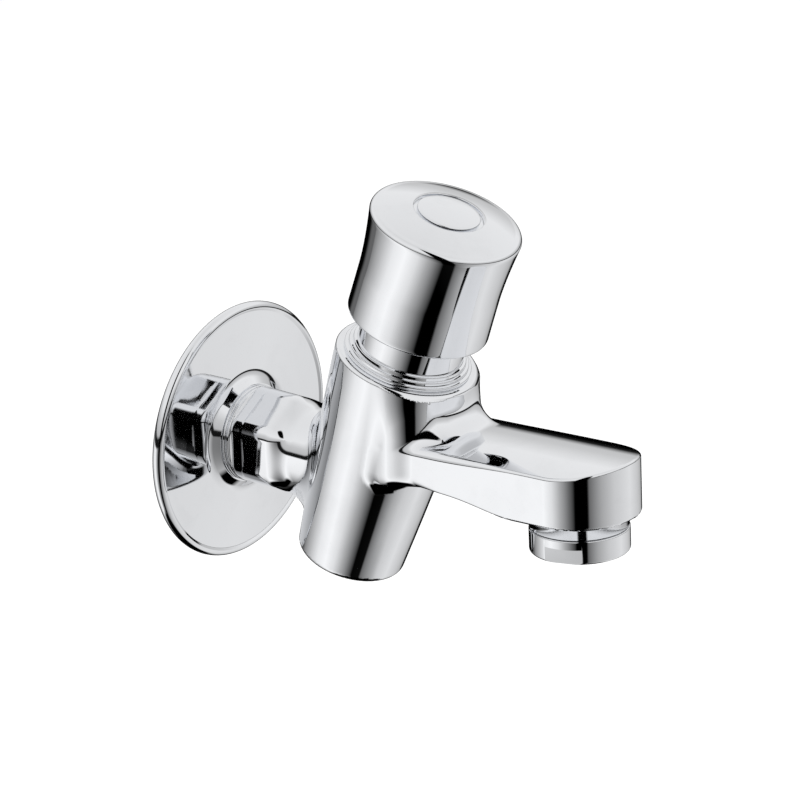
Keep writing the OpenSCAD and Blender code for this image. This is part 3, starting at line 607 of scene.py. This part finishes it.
def inlet_shank(sizes):
    """Collars and shank, with the pipe thread's ridge wound round it."""
    core = sizes.thread_d / 2
    depth = 1.16 * MM
    root = core - depth
    plain = core - 0.45 * MM
    collar = sizes.collar_d / 2
    groove, edge = collar - 0.7 * MM, 0.2 * MM
    first, second = FLANGE_FRONT, FLANGE_FRONT + 1.2 * MM
    end = -sizes.thread_length
    shoulder = -0.4 * MM
    fine = np.arange(end + 0.4 * MM, -0.6 * MM, sizes.thread_pitch / 12)
    outline = [(0, end), (core - 1.2 * MM, end)] + [(core, float(x)) for x in fine]
    outline += [(plain, shoulder), (plain, first), (collar - edge, first), (collar, first + edge),
                (collar, first + MM - edge), (collar - edge, first + MM), (groove, first + MM),
                (groove, second), (collar - edge, second), (collar, second + edge),
                (collar, second + MM - edge), (collar - edge, second + MM), (0, first + 3.5 * MM)]
    piece = turned("shank", outline, Matrix.Identity(4), closed=False, steps=128)
    for vertex in piece.data.vertices:
        x, y, z = vertex.co
        across = math.hypot(x, y)
        if z > -0.5 * MM or across < core - 0.1 * MM:
            continue
        phase = (z / sizes.thread_pitch - math.atan2(y, x) / (2 * math.pi)) % 1
        ridge = min(1, max(0, 1.25 - 3.375 * abs(phase - 0.5)))
        fade = min(1, (z - end) / (1.5 * MM)) * min(1, (shoulder - z) / (1.2 * MM))
        radius = root + depth * ridge * max(0, fade)
        vertex.co = (x * radius / across, y * radius / across, z)
    return settle_place(piece, place_on_inlet())


def bore(name, place, *steps):
    """Closed tool for a stepped round bore, from its (radius, height) steps in millimetres."""
    outline = in_metres((0, steps[0][1]), *steps, (0, steps[-1][1]))
    return turned(name, outline, place, closed=False, steps=96)


def casting_bores(sizes):
    """Tools for the waterways and the chambers, in the order in which they are cut."""
    mouth, foot = sizes.mouth_w / MM, -sizes.foot_w / MM
    yield bore("inlet_bore", place_on_inlet(), (6.5, -16), (6.5, -3), (6, -3), (6, 38))
    yield bore("barrel_bore", place_on_barrel(sizes),
               (10.9, foot + 4.5), (10.9, 0), (9, 0), (9, 4), (10.06, 4), (10.06, 11.8), (13.45, 11.8),
               (13.45, mouth - 10), (15, mouth - 10), (15, mouth - 1.6), (16.55, mouth - 1.6),
               (16.55, mouth + 1))
    yield bore("nozzle_bore", place_on_nozzle(sizes), (12, -0.6), (12, 9.5), (9.6, 9.5), (9.6, 12.4))
    yield block("duct", (51.5 * MM, 16 * MM, 4.8 * MM), (87.75 * MM, 0, 10.4 * MM))


class TAP_OT_casting(bpy.types.Operator):
    """Model the one-piece casting with its barrel, spout, hexagon, thread and bores"""
    bl_idname = "tap.casting"
    bl_label = "Casting"

    def execute(self, context):
        sizes = context.scene.tap_casting
        field = partial(body_field, sizes)
        leans = partial(body_leans, sizes)
        body = casting_body(sizes, field, leans)
        cut(body, inlet_shank(sizes), "UNION")
        boss_r = context.scene.tap_trim.aerator_d / 2 - 0.2 * MM
        low, high = -0.1 * MM, sizes.spout_under + MM
        boss = [(0, low), (boss_r, low), (boss_r, high), (0, high)]
        cut(body, turned("boss", boss, place_on_nozzle(sizes), closed=False), "UNION")
        for tool in casting_bores(sizes):
            cut(body, tool)
        smooth(body, limit=38, weighted=False)
        true_normals(body, field, leans)
        hand_over(body, chrome(context.scene.tap_finish), "chrome", FIXED_BODY, "valve_body")
        return {"FINISHED"}


class TAP_OT_flange(bpy.types.Operator):
    """Turn the domed wall flange with its rolled rim"""
    bl_idname = "tap.flange"
    bl_label = "Wall flange"

    def execute(self, context):
        sizes = context.scene.tap_trim
        casting = context.scene.tap_casting
        wall = 1.2 * MM
        depth = sizes.flange_depth
        rim_r = sizes.flange_d / 2
        rim = sizes.flange_rim / 2
        bear_r = casting.collar_d / 2 + 0.4 * MM
        bore_r = casting.thread_d / 2 - 0.15 * MM
        face_r = rim_r - rim
        face = rounded([
            (face_r + 0.2 * MM, sizes.flange_rim - 0.05 * MM),
            (face_r - 0.7 * MM, sizes.flange_rim - 0.45 * MM, 0.4 * MM),
            (face_r - 9 * MM, sizes.flange_rim + 0.1 * MM, 40 * MM),
            (bear_r + 2.6 * MM, depth - 2.2 * MM, 4 * MM), (bear_r, depth)])
        outline = [(rim_r - 2 * wall, 0), (face_r, 0)]
        outline += arc((face_r, rim), rim, -90, 90, 16)[1:] + face[1:]
        outline += [(bore_r, depth), (bore_r, depth - wall)]
        outline += [point - Vector((0.6 * wall, wall)) for point in reversed(face)]
        plated(turned("flange", outline, place_on_inlet(), steps=256), FIXED_BODY, "wall_flange")
        return {"FINISHED"}


class TAP_OT_bonnet(bpy.types.Operator):
    """Turn the bonnet nut: thread, stepped ring and the bright sleeve under the cap"""
    bl_idname = "tap.bonnet"
    bl_label = "Bonnet nut"

    def execute(self, context):
        sizes = context.scene.tap_trim
        casting = context.scene.tap_casting
        base = casting.mouth_w / MM
        ring = sizes.bonnet_d / 2 / MM
        sleeve = sizes.sleeve_d / 2 / MM
        top = (sizes.cap_bottom_w + STROKE) / MM + 3.5
        outline = rounded(in_metres(
            (10.15, base - 9.7), (14.85, base - 9.7), (14.85, base + 0.05),
            (ring, base + 0.05, 0.25), (ring, base + 1, 0.25),
            (ring - 0.95, base + 1, 0.15), (ring - 0.95, base + 2, 0.25),
            (ring - 1.85, base + 2, 0.15), (ring - 1.95, base + 3, 0.25),
            (sleeve, base + 3.1, 0.15), (sleeve, top, 0.4), (sleeve - 1.6, top, 0.2),
            (sleeve - 1.6, base + 3.5), (5, base + 3.5), (5, base + 1.5), (10.15, base + 1.5)))
        plated(turned("bonnet", outline, place_on_barrel(casting)), FIXED_BODY, "bonnet_nut")
        return {"FINISHED"}


def dome_radius(sizes):
    """Radius of the sphere that the cap's dome is part of."""
    edge = sizes.cap_rim_d / 2 - MM
    return (edge ** 2 + sizes.cap_dome ** 2) / (2 * sizes.cap_dome)


def dome_height(sizes, r):
    """Height of the cap's dome over the barrel axis origin, at radius r."""
    radius = dome_radius(sizes)
    top = sizes.cap_bottom_w + sizes.cap_height + sizes.cap_dome - 0.2 * MM
    return top - radius + math.sqrt(radius ** 2 - r ** 2)


def cap_side(sizes, t):
    """Outside radius of the cap at share t of its height: nearly straight, then flared."""
    waist = 0.42
    flare = max(0, (t - waist) / (1 - waist)) ** 1.6
    foot = 0.12 * MM * (1 - t) ** 3
    return sizes.cap_waist_d / 2 + foot + (sizes.cap_rim_d - sizes.cap_waist_d) / 2 * flare


class TAP_OT_cap(bpy.types.Operator):
    """Turn the push cap and the index plate in its top"""
    bl_idname = "tap.cap"
    bl_label = "Push cap"

    def execute(self, context):
        sizes = context.scene.tap_trim
        place = place_on_barrel(context.scene.tap_casting)
        bottom = sizes.cap_bottom_w
        rim = bottom + sizes.cap_height
        index_r = sizes.index_d / 2
        floor = dome_height(sizes, index_r) - 1.5 * MM
        bore_r = sizes.cap_waist_d / 2 - 1.4 * MM
        bore_top = rim - 2.6 * MM
        hole_r, head_r, head_floor = 2.2 * MM, 3.9 * MM, floor - 2.25 * MM
        edge, roll, lip, bevel = 0.9 * MM, 1.5 * MM, 0.25 * MM, 0.3 * MM
        steps = 40
        straight = sizes.cap_height - edge - roll
        shoulder = sizes.cap_rim_d / 2 - roll
        crown = 90 - math.degrees(math.asin(shoulder / dome_radius(sizes)))
        outline = [(hole_r, bore_top), (bore_r, bore_top), (bore_r, bottom + bevel),
                   (bore_r + bevel, bottom)]
        outline += arc((cap_side(sizes, 0) - edge, bottom + edge), edge, -90, 0, 8)
        outline += [(cap_side(sizes, k / steps), bottom + edge + straight * k / steps)
                    for k in range(1, steps)]
        outline += arc((shoulder, rim - roll), roll, 0, crown, 12)
        outline += [(r, dome_height(sizes, r))
                    for r in np.linspace(shoulder - 0.4 * MM, index_r + lip, 24)]
        outline += arc((index_r + lip, dome_height(sizes, index_r) - lip), lip, 100, 180, 4)
        outline += [(index_r, floor), (head_r, floor), (head_r, head_floor), (hole_r, head_floor)]
        plated(turned("cap", outline, place, steps=256), BUTTON_BODY, "push_cap")
        disc_r = index_r - MM
        fit_r, step = index_r - 0.05 * MM, floor + 0.5 * MM
        disc = [(0, floor), (fit_r, floor), (fit_r, step), (disc_r, step)]
        disc += arc((disc_r - lip, dome_height(sizes, disc_r) - lip), lip, 0, 80, 4)
        disc += [(r, dome_height(sizes, r)) for r in np.linspace(disc_r - 0.3 * MM, 0, 12)]
        plated(turned("index", disc, place, closed=False), BUTTON_BODY, "index_plate")
        return {"FINISHED"}


class TAP_OT_aerator(bpy.types.Operator):
    """Turn the aerator's housing and cut its wrench flats"""
    bl_idname = "tap.aerator"
    bl_label = "Aerator housing"

    def execute(self, context):
        sizes = context.scene.tap_trim
        place = place_on_nozzle(context.scene.tap_casting)
        r = sizes.aerator_d / 2
        outside = r / MM
        bottom, top = -6.7, -0.4
        outline = rounded(in_metres(
            (9.4, bottom, 0.3), (outside, bottom, 0.7), (outside, top, 0.35), (11.85, top),
            (11.85, 8.4), (10.4, 8.4), (10.4, bottom + 1.4), (9.4, bottom + 1.4)))
        piece = turned("aerator", outline, place)
        for side in (-1, 1):
            middle = (0, side * (sizes.aerator_flats / 2 + r / 2), (bottom + 1.5) * MM)
            tool = block("flat_tool", (2.2 * r, r, 5 * MM), middle)
            settle_place(tool, place @ Matrix.Rotation(sizes.aerator_turn, 4, "Z"))
            cut(piece, tool)
        plated(piece, FIXED_BODY, "aerator_housing", limit=28)
        return {"FINISHED"}


class TAP_OT_spring(bpy.types.Operator):
    """Wind the return spring"""
    bl_idname = "tap.spring"
    bl_label = "Return spring"

    def execute(self, context):
        sizes = context.scene.tap_trim
        wire_r = sizes.spring_wire / 2
        seat, bush, clear = 7.5 * MM, 25.2 * MM, 0.1 * MM
        bottom = seat + wire_r + clear
        top = bush - wire_r - clear
        turns = 6
        closed = sizes.spring_wire + 0.15 * MM
        per_turn = 32
        deselect()
        bpy.ops.curve.primitive_bezier_curve_add()
        piece = named("spring")
        piece.data.splines.clear()
        wire = piece.data.splines.new("POLY")
        wire.points.add(turns * per_turn)
        for k, point in enumerate(wire.points):
            t = k / per_turn
            rise = np.interp(
                t, [0, 1, turns - 1, turns], [0, closed, top - bottom - closed, top - bottom])
            a = 2 * math.pi * t
            point.co = (sizes.spring_d / 2 * math.cos(a), sizes.spring_d / 2 * math.sin(a), bottom + rise, 1)
        piece.data.dimensions = "3D"
        piece.data.bevel_depth = wire_r
        piece.data.bevel_resolution = 3
        piece.data.use_fill_caps = True
        bpy.ops.object.convert(target="MESH")
        piece = named("spring")
        place = place_on_barrel(context.scene.tap_casting)
        settle_place(piece, place)
        smooth(piece, weighted=False)
        hand_over(piece, steel(context.scene.tap_finish), "stainless", FIXED_BODY, "return_spring")
        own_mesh(piece)
        return {"FINISHED"}


# Finishes
def add(tree, kind, **values):
    """Adds a shader node: each value is a link or number for the socket of that name, or a setting."""
    node = tree.nodes.new(kind)
    for key, value in values.items():
        socket = key.replace("_", " ").title()
        if socket not in node.inputs:
            setattr(node, key, value)
        elif isinstance(value, bpy.types.NodeSocket):
            tree.links.new(value, node.inputs[socket])
        else:
            node.inputs[socket].default_value = value
    return node


def material(name, metallic=0):
    """A node material; its tree, shader and object coordinates come with it only when it is new."""
    if name in bpy.data.materials:
        return bpy.data.materials[name], None, None, None
    made = bpy.data.materials.new(name)
    made.use_nodes = True
    tree = made.node_tree
    shader = tree.nodes["Principled BSDF"]
    shader.inputs["Metallic"].default_value = metallic
    return made, tree, shader, add(tree, "ShaderNodeTexCoord").outputs["Object"]


def effect(name, inputs, outputs):
    """A node group with named sockets: returns its tree, or None if it is already built."""
    if name in bpy.data.node_groups:
        return None
    tree = bpy.data.node_groups.new(name, "ShaderNodeTree")
    for socket, kind in inputs:
        tree.interface.new_socket(name=socket, in_out="INPUT", socket_type=kind)
    for socket, kind in outputs:
        tree.interface.new_socket(name=socket, in_out="OUTPUT", socket_type=kind)
    return tree


def handling_marks():
    """Faint soft marks of handling and polishing: a roughness and a small tint mask."""
    name = "Handling marks"
    number = "NodeSocketFloat"
    inputs = [("Vector", "NodeSocketVector"), ("Size", number), ("Plain", number), ("Marked", number)]
    tree = effect(name, inputs, [("Roughness", number), ("Mask", number)])
    if tree:
        given = add(tree, "NodeGroupInput").outputs
        cloud = add(tree, "ShaderNodeTexNoise", detail=5.0, roughness=0.6, distortion=0.4,
                    vector=given["Vector"], scale=given["Size"])
        narrow = add(tree, "ShaderNodeMapRange", interpolation_type="SMOOTHSTEP",
                     from_min=0.48, from_max=0.72, value=cloud.outputs["Fac"])
        mask = narrow.outputs["Result"]
        level = add(tree, "ShaderNodeMapRange", value=mask, to_min=given["Plain"], to_max=given["Marked"])
        add(tree, "NodeGroupOutput", roughness=level.outputs["Result"], mask=mask)
    return bpy.data.node_groups[name]


def mark(tree, coordinates, shader, size, plain, marked, plain_colour, marked_colour):
    """Places the handling marks in a material, in its roughness and its colour."""
    group = add(tree, "ShaderNodeGroup", node_tree=handling_marks(), vector=coordinates, size=size,
                plain=plain, marked=marked)
    tint = add(tree, "ShaderNodeMix", data_type="RGBA", factor=group.outputs["Mask"],
               a=(*plain_colour, 1), b=(*marked_colour, 1))
    tree.links.new(group.outputs["Roughness"], shader.inputs["Roughness"])
    tree.links.new(tint.outputs["Result"], shader.inputs["Base Color"])


def relief(tree, coordinates, shader, size, height, detail=2.0, stretch=(1, 1, 1)):
    """Fine relief from noise, of a given height in metres."""
    mapping = add(tree, "ShaderNodeMapping", vector=coordinates, scale=stretch)
    noise = add(tree, "ShaderNodeTexNoise", vector=mapping.outputs["Vector"], scale=size, detail=detail)
    bump = add(tree, "ShaderNodeBump", strength=1.0, distance=height, height=noise.outputs["Fac"])
    tree.links.new(bump.outputs["Normal"], shader.inputs["Normal"])


def shade(colours, share):
    """A colour at a share of its level."""
    return tuple(c * share for c in colours)


def surface(name, marks, grain, metallic=0, ior=None):
    """A finish with its handling marks and its fine relief, made once."""
    made, tree, shader, coordinates = material(name, metallic)
    if tree:
        if ior:
            shader.inputs["IOR"].default_value = ior
        mark(tree, coordinates, shader, *marks)
        relief(tree, coordinates, shader, *grain)
    return made


def chrome(finish):
    """Polished chromium plate: a mirror with the faint waviness of hand polishing."""
    rough = finish.chrome_roughness
    marks = (90, rough, rough + 0.03, finish.chrome, shade(finish.chrome, 0.97))
    return surface("Chrome plate", marks, (70, 0.012 * MM), metallic=1)


def brass(finish):
    """Bare brass with fine tool marks and a darker bloom."""
    marks = (220, 0.24, 0.42, finish.brass, shade(finish.brass, 0.72))
    return surface("Turned brass", marks, (300, 0.02 * MM, 4.0, (1, 1, 14)), metallic=1)


def steel(finish):
    """Bright stainless steel with drawn marks."""
    marks = (260, 0.18, 0.34, finish.steel, shade(finish.steel, 0.85))
    return surface("Stainless steel", marks, (400, 0.012 * MM, 3.0, (1, 1, 10)), metallic=1)


def rubber(finish):
    """Moulded black rubber, dull with a trace of mould bloom."""
    marks = (300, 0.62, 0.8, finish.rubber, (0.06, 0.06, 0.062))
    return surface("Black rubber", marks, (1800, 0.02 * MM, 4.0))


def plastic(name, base):
    """Moulded plastic with a fine grain and a slight change of shade."""
    marks = (180, 0.34, 0.5, base, shade(base, 0.92))
    return surface(name, marks, (1500, 0.012 * MM, 3.0), ior=1.49)


class TAP_OT_inner(bpy.types.Operator):
    """Finish the inner pieces: brass, steel, rubber and plastic"""
    bl_idname = "tap.inner"
    bl_label = "Inner pieces"

    def execute(self, context):
        finish = context.scene.tap_finish
        kinds = {
            "brass": brass(finish),
            "stainless": steel(finish),
            "rubber": rubber(finish),
            "chrome": chrome(finish),
            "white_plastic": plastic("White plastic", finish.white_plastic),
            "grey_plastic": plastic("Grey plastic", finish.grey_plastic),
        }
        for name, node in frame["nodes"].items():
            slots = [slot.material.name for slot in node.material_slots if slot.material]
            kind = next((k for k in kinds if any(k in slot for slot in slots)), None)
            if kind is None:
                raise RuntimeError(f"no finish for {name}: {slots}")
            for slot in node.material_slots:
                slot.material = kinds[kind]
        return {"FINISHED"}


# Level of the studio's surroundings round the horizon, as (direction in degrees, level): the
# directions turn from the spout's side (0) towards the tap's far side (90)
SURROUNDINGS = [
    (-180, 0.2), (-160, 0.48), (-140, 0.82), (-122, 0.95), (-104, 0.74), (-88, 0.4), (-72, 0.14),
    (-61, 0.004), (-39, 0.004), (-35, 0.13), (-12, 0.38), (14, 0.58), (52, 0.73), (84, 0.55), (99, 0.4),
    (107, 0.03), (160, 0.025), (170, 0.12),
]
# Level of the same surroundings from the floor (-90) to the ceiling (90), as (elevation, share of
# the walls' level, level of its own)
RISE = [
    (-90, 0, 0.0), (-64, 0, 0.0), (-58, 1, 0.0), (-8, 1, 0.0), (-6.5, 0, 0.005), (0, 0, 0.01),
    (3, 0, 0.48), (14, 0, 0.57), (26, 0, 0.8), (60, 0, 0.74), (90, 0, 0.66),
]
# Dark panels in front of them, as (direction, cover) and (elevation, reach)
PANELS = [
    ([(-180, 0), (-63, 0), (-60, 1), (-39, 1), (-35, 0)], [(-60, 0), (-50, 1), (66, 1), (80, 0)]),
    ([(-180, 0), (102, 0), (108, 0.98), (158, 0.98), (166, 0)], [(-60, 0), (-50, 1), (4, 1), (9, 0)]),
]
# What all of these levels are multiplied by
STUDIO_GAIN = 1.12


def ramp(tree, source, stops, low, high):
    """Colour ramp over a value that runs from low to high."""
    spread = add(tree, "ShaderNodeMapRange", from_min=low, from_max=high, value=source)
    node = add(tree, "ShaderNodeValToRGB", fac=spread.outputs["Result"])
    elements = node.color_ramp.elements
    while len(elements) > 1:
        elements.remove(elements[-1])
    for k, (at, level) in enumerate(stops):
        share = (at - low) / (high - low)
        element = elements[0] if k == 0 else elements.new(share)
        element.position = share
        element.color = (level, level, level, 1)
    return node.outputs["Color"]


def math_node(tree, operation, first, second=None):
    """Result of a math node on one or two sockets or numbers."""
    node = add(tree, "ShaderNodeMath", operation=operation)
    for socket, value in zip(node.inputs, (first, second)):
        if isinstance(value, bpy.types.NodeSocket):
            tree.links.new(value, socket)
        elif value is not None:
            socket.default_value = value
    return node.outputs[0]


def surroundings(world, level):
    """White for the camera, plain light for dull surfaces, and the studio's walls for bright ones."""
    world.use_nodes = True
    tree = world.node_tree
    sum_of = partial(math_node, tree)
    direction = add(tree, "ShaderNodeTexCoord").outputs["Generated"]
    parts = add(tree, "ShaderNodeSeparateXYZ", vector=direction).outputs
    side = sum_of("DEGREES", sum_of("ARCTAN2", parts["Y"], parts["X"]))
    height = sum_of("DEGREES", sum_of("ARCSINE", parts["Z"]))
    walls = ramp(tree, side, SURROUNDINGS, -180, 180)
    share = ramp(tree, height, [(at, s) for at, s, _ in RISE], -90, 90)
    own = ramp(tree, height, [(at, s) for at, _, s in RISE], -90, 90)
    studio = sum_of("ADD", sum_of("MULTIPLY", walls, share), own)
    for across, upward in PANELS:
        across = ramp(tree, side, across, -180, 180)
        upward = ramp(tree, height, upward, -90, 90)
        open_share = sum_of("SUBTRACT", 1.0, sum_of("MULTIPLY", across, upward))
        studio = sum_of("MULTIPLY", studio, open_share)
    studio = sum_of("MULTIPLY", studio, STUDIO_GAIN)
    ray = add(tree, "ShaderNodeLightPath").outputs
    bright = sum_of("MAXIMUM", ray["Is Glossy Ray"], ray["Is Transmission Ray"])
    lit = add(tree, "ShaderNodeMix", data_type="FLOAT", factor=bright, a=level, b=studio)
    seen = add(tree, "ShaderNodeMix", data_type="FLOAT", factor=ray["Is Camera Ray"],
               a=lit.outputs["Result"], b=1.0)
    tree.links.new(seen.outputs["Result"], tree.nodes["Background"].inputs["Color"])


def soft_lamp(name, side, rise, distance, size, power):
    """Square soft lamp, in degrees round and above the tap, that doesn't show in its polish."""
    side, rise = math.radians(side), math.radians(rise)
    light = bpy.data.lights.new(name, "AREA")
    light.size = size
    light.energy = power
    lamp = bpy.data.objects.new(name, light)
    lamp.visible_glossy = False
    bpy.context.scene.collection.objects.link(lamp)
    towards = Vector((math.cos(rise) * math.cos(side), math.cos(rise) * math.sin(side), math.sin(rise)))
    lamp.location = MIDDLE + towards * distance
    lamp.rotation_euler = towards.to_track_quat("Z", "Y").to_euler()


def floor(stage):
    """Plain pale floor, white to the camera, which keeps the tap's shadow."""
    deselect()
    bpy.ops.mesh.primitive_plane_add(size=6, location=(0, 0, stage.floor_z))
    piece = named("floor")
    bpy.ops.object.transform_apply()
    piece.visible_glossy = False
    made, tree, shader, _ = material("Pale floor")
    shader.inputs["Base Color"].default_value = (0.82, 0.82, 0.82, 1)
    shader.inputs["Roughness"].default_value = 0.9
    shader.inputs["Specular IOR Level"].default_value = 0
    ray = add(tree, "ShaderNodeLightPath").outputs
    lift = math_node(tree, "MULTIPLY", ray["Is Camera Ray"], 0.3)
    shader.inputs["Emission Color"].default_value = (1, 1, 1, 1)
    tree.links.new(lift, shader.inputs["Emission Strength"])
    piece.data.materials.append(made)


def camera(stage):
    """Camera at the photograph's viewing angle."""
    a, e = stage.camera_side, stage.camera_height
    back = Vector((math.sin(a) * math.cos(e), -math.cos(a) * math.cos(e), math.sin(e)))
    right = Vector((math.cos(a), math.sin(a), 0))
    up = back.cross(right)
    turn = Matrix((right, up, back)).transposed() @ Matrix.Rotation(stage.camera_roll, 3, "Z")
    data = bpy.data.cameras.new("camera")
    data.lens = 195
    data.sensor_width = 36
    data.shift_x = 0.0039
    data.shift_y = 0.0455
    data.clip_start = 0.05
    data.clip_end = 20
    eye = bpy.data.objects.new("camera", data)
    bpy.context.scene.collection.objects.link(eye)
    eye.matrix_world = Matrix.Translation(MIDDLE + back * stage.camera_distance) @ turn.to_4x4()
    bpy.context.scene.camera = eye


class TAP_OT_studio(bpy.types.Operator):
    """Set up the camera, the floor, the soft lamps and the studio's surroundings"""
    bl_idname = "tap.studio"
    bl_label = "Studio"

    def execute(self, context):
        stage = context.scene.tap_studio
        context.scene.view_settings.view_transform = "Standard"
        world = context.scene.world or bpy.data.worlds.new("Studio")
        context.scene.world = world
        surroundings(world, stage.light_level)
        soft_lamp("key", side=-60, rise=55, distance=1.6, size=1.2, power=12)
        soft_lamp("fill", side=60, rise=40, distance=1.8, size=1.4, power=8)
        floor(stage)
        camera(stage)
        return {"FINISHED"}


class TAP_PT_panel(bpy.types.Panel):
    """Sizes, finishes and steps of the basin tap"""
    bl_label = "Basin Tap"
    bl_idname = "TAP_PT_panel"
    bl_space_type = "VIEW_3D"
    bl_region_type = "UI"
    bl_category = "Basin Tap"

    def draw(self, context):
        for step in STEPS:
            self.layout.operator(step.bl_idname)
        for group in GROUPS:
            settings = getattr(context.scene, group)
            column = self.layout.box().column()
            for name in settings.bl_rna.properties.keys():
                if name not in ("rna_type", "name"):
                    column.prop(settings, name)


GROUPS = {
    "tap_casting": TapCastingSizes,
    "tap_trim": TapTrimSizes,
    "tap_finish": TapFinish,
    "tap_studio": TapStudio,
}
STEPS = (TAP_OT_studio, TAP_OT_casting, TAP_OT_flange, TAP_OT_bonnet, TAP_OT_cap, TAP_OT_aerator,
         TAP_OT_spring, TAP_OT_inner)


def register():
    """Adds the settings, the operators and the panel."""
    for group, kind in GROUPS.items():
        bpy.utils.register_class(kind)
        setattr(bpy.types.Scene, group, bpy.props.PointerProperty(type=kind))
    for kind in STEPS + (TAP_PT_panel,):
        bpy.utils.register_class(kind)


def unregister():
    """Takes them away again."""
    for kind in (TAP_PT_panel,) + STEPS[::-1]:
        bpy.utils.unregister_class(kind)
    for group, kind in GROUPS.items():
        delattr(bpy.types.Scene, group)
        bpy.utils.unregister_class(kind)


def main():
    """Makes every piece and the studio."""
    register()
    bpy.ops.tap.studio()
    bpy.ops.tap.casting()
    bpy.ops.tap.flange()
    bpy.ops.tap.bonnet()
    bpy.ops.tap.cap()
    bpy.ops.tap.aerator()
    bpy.ops.tap.spring()
    bpy.ops.tap.inner()


if __name__ == "__main__":
    main()
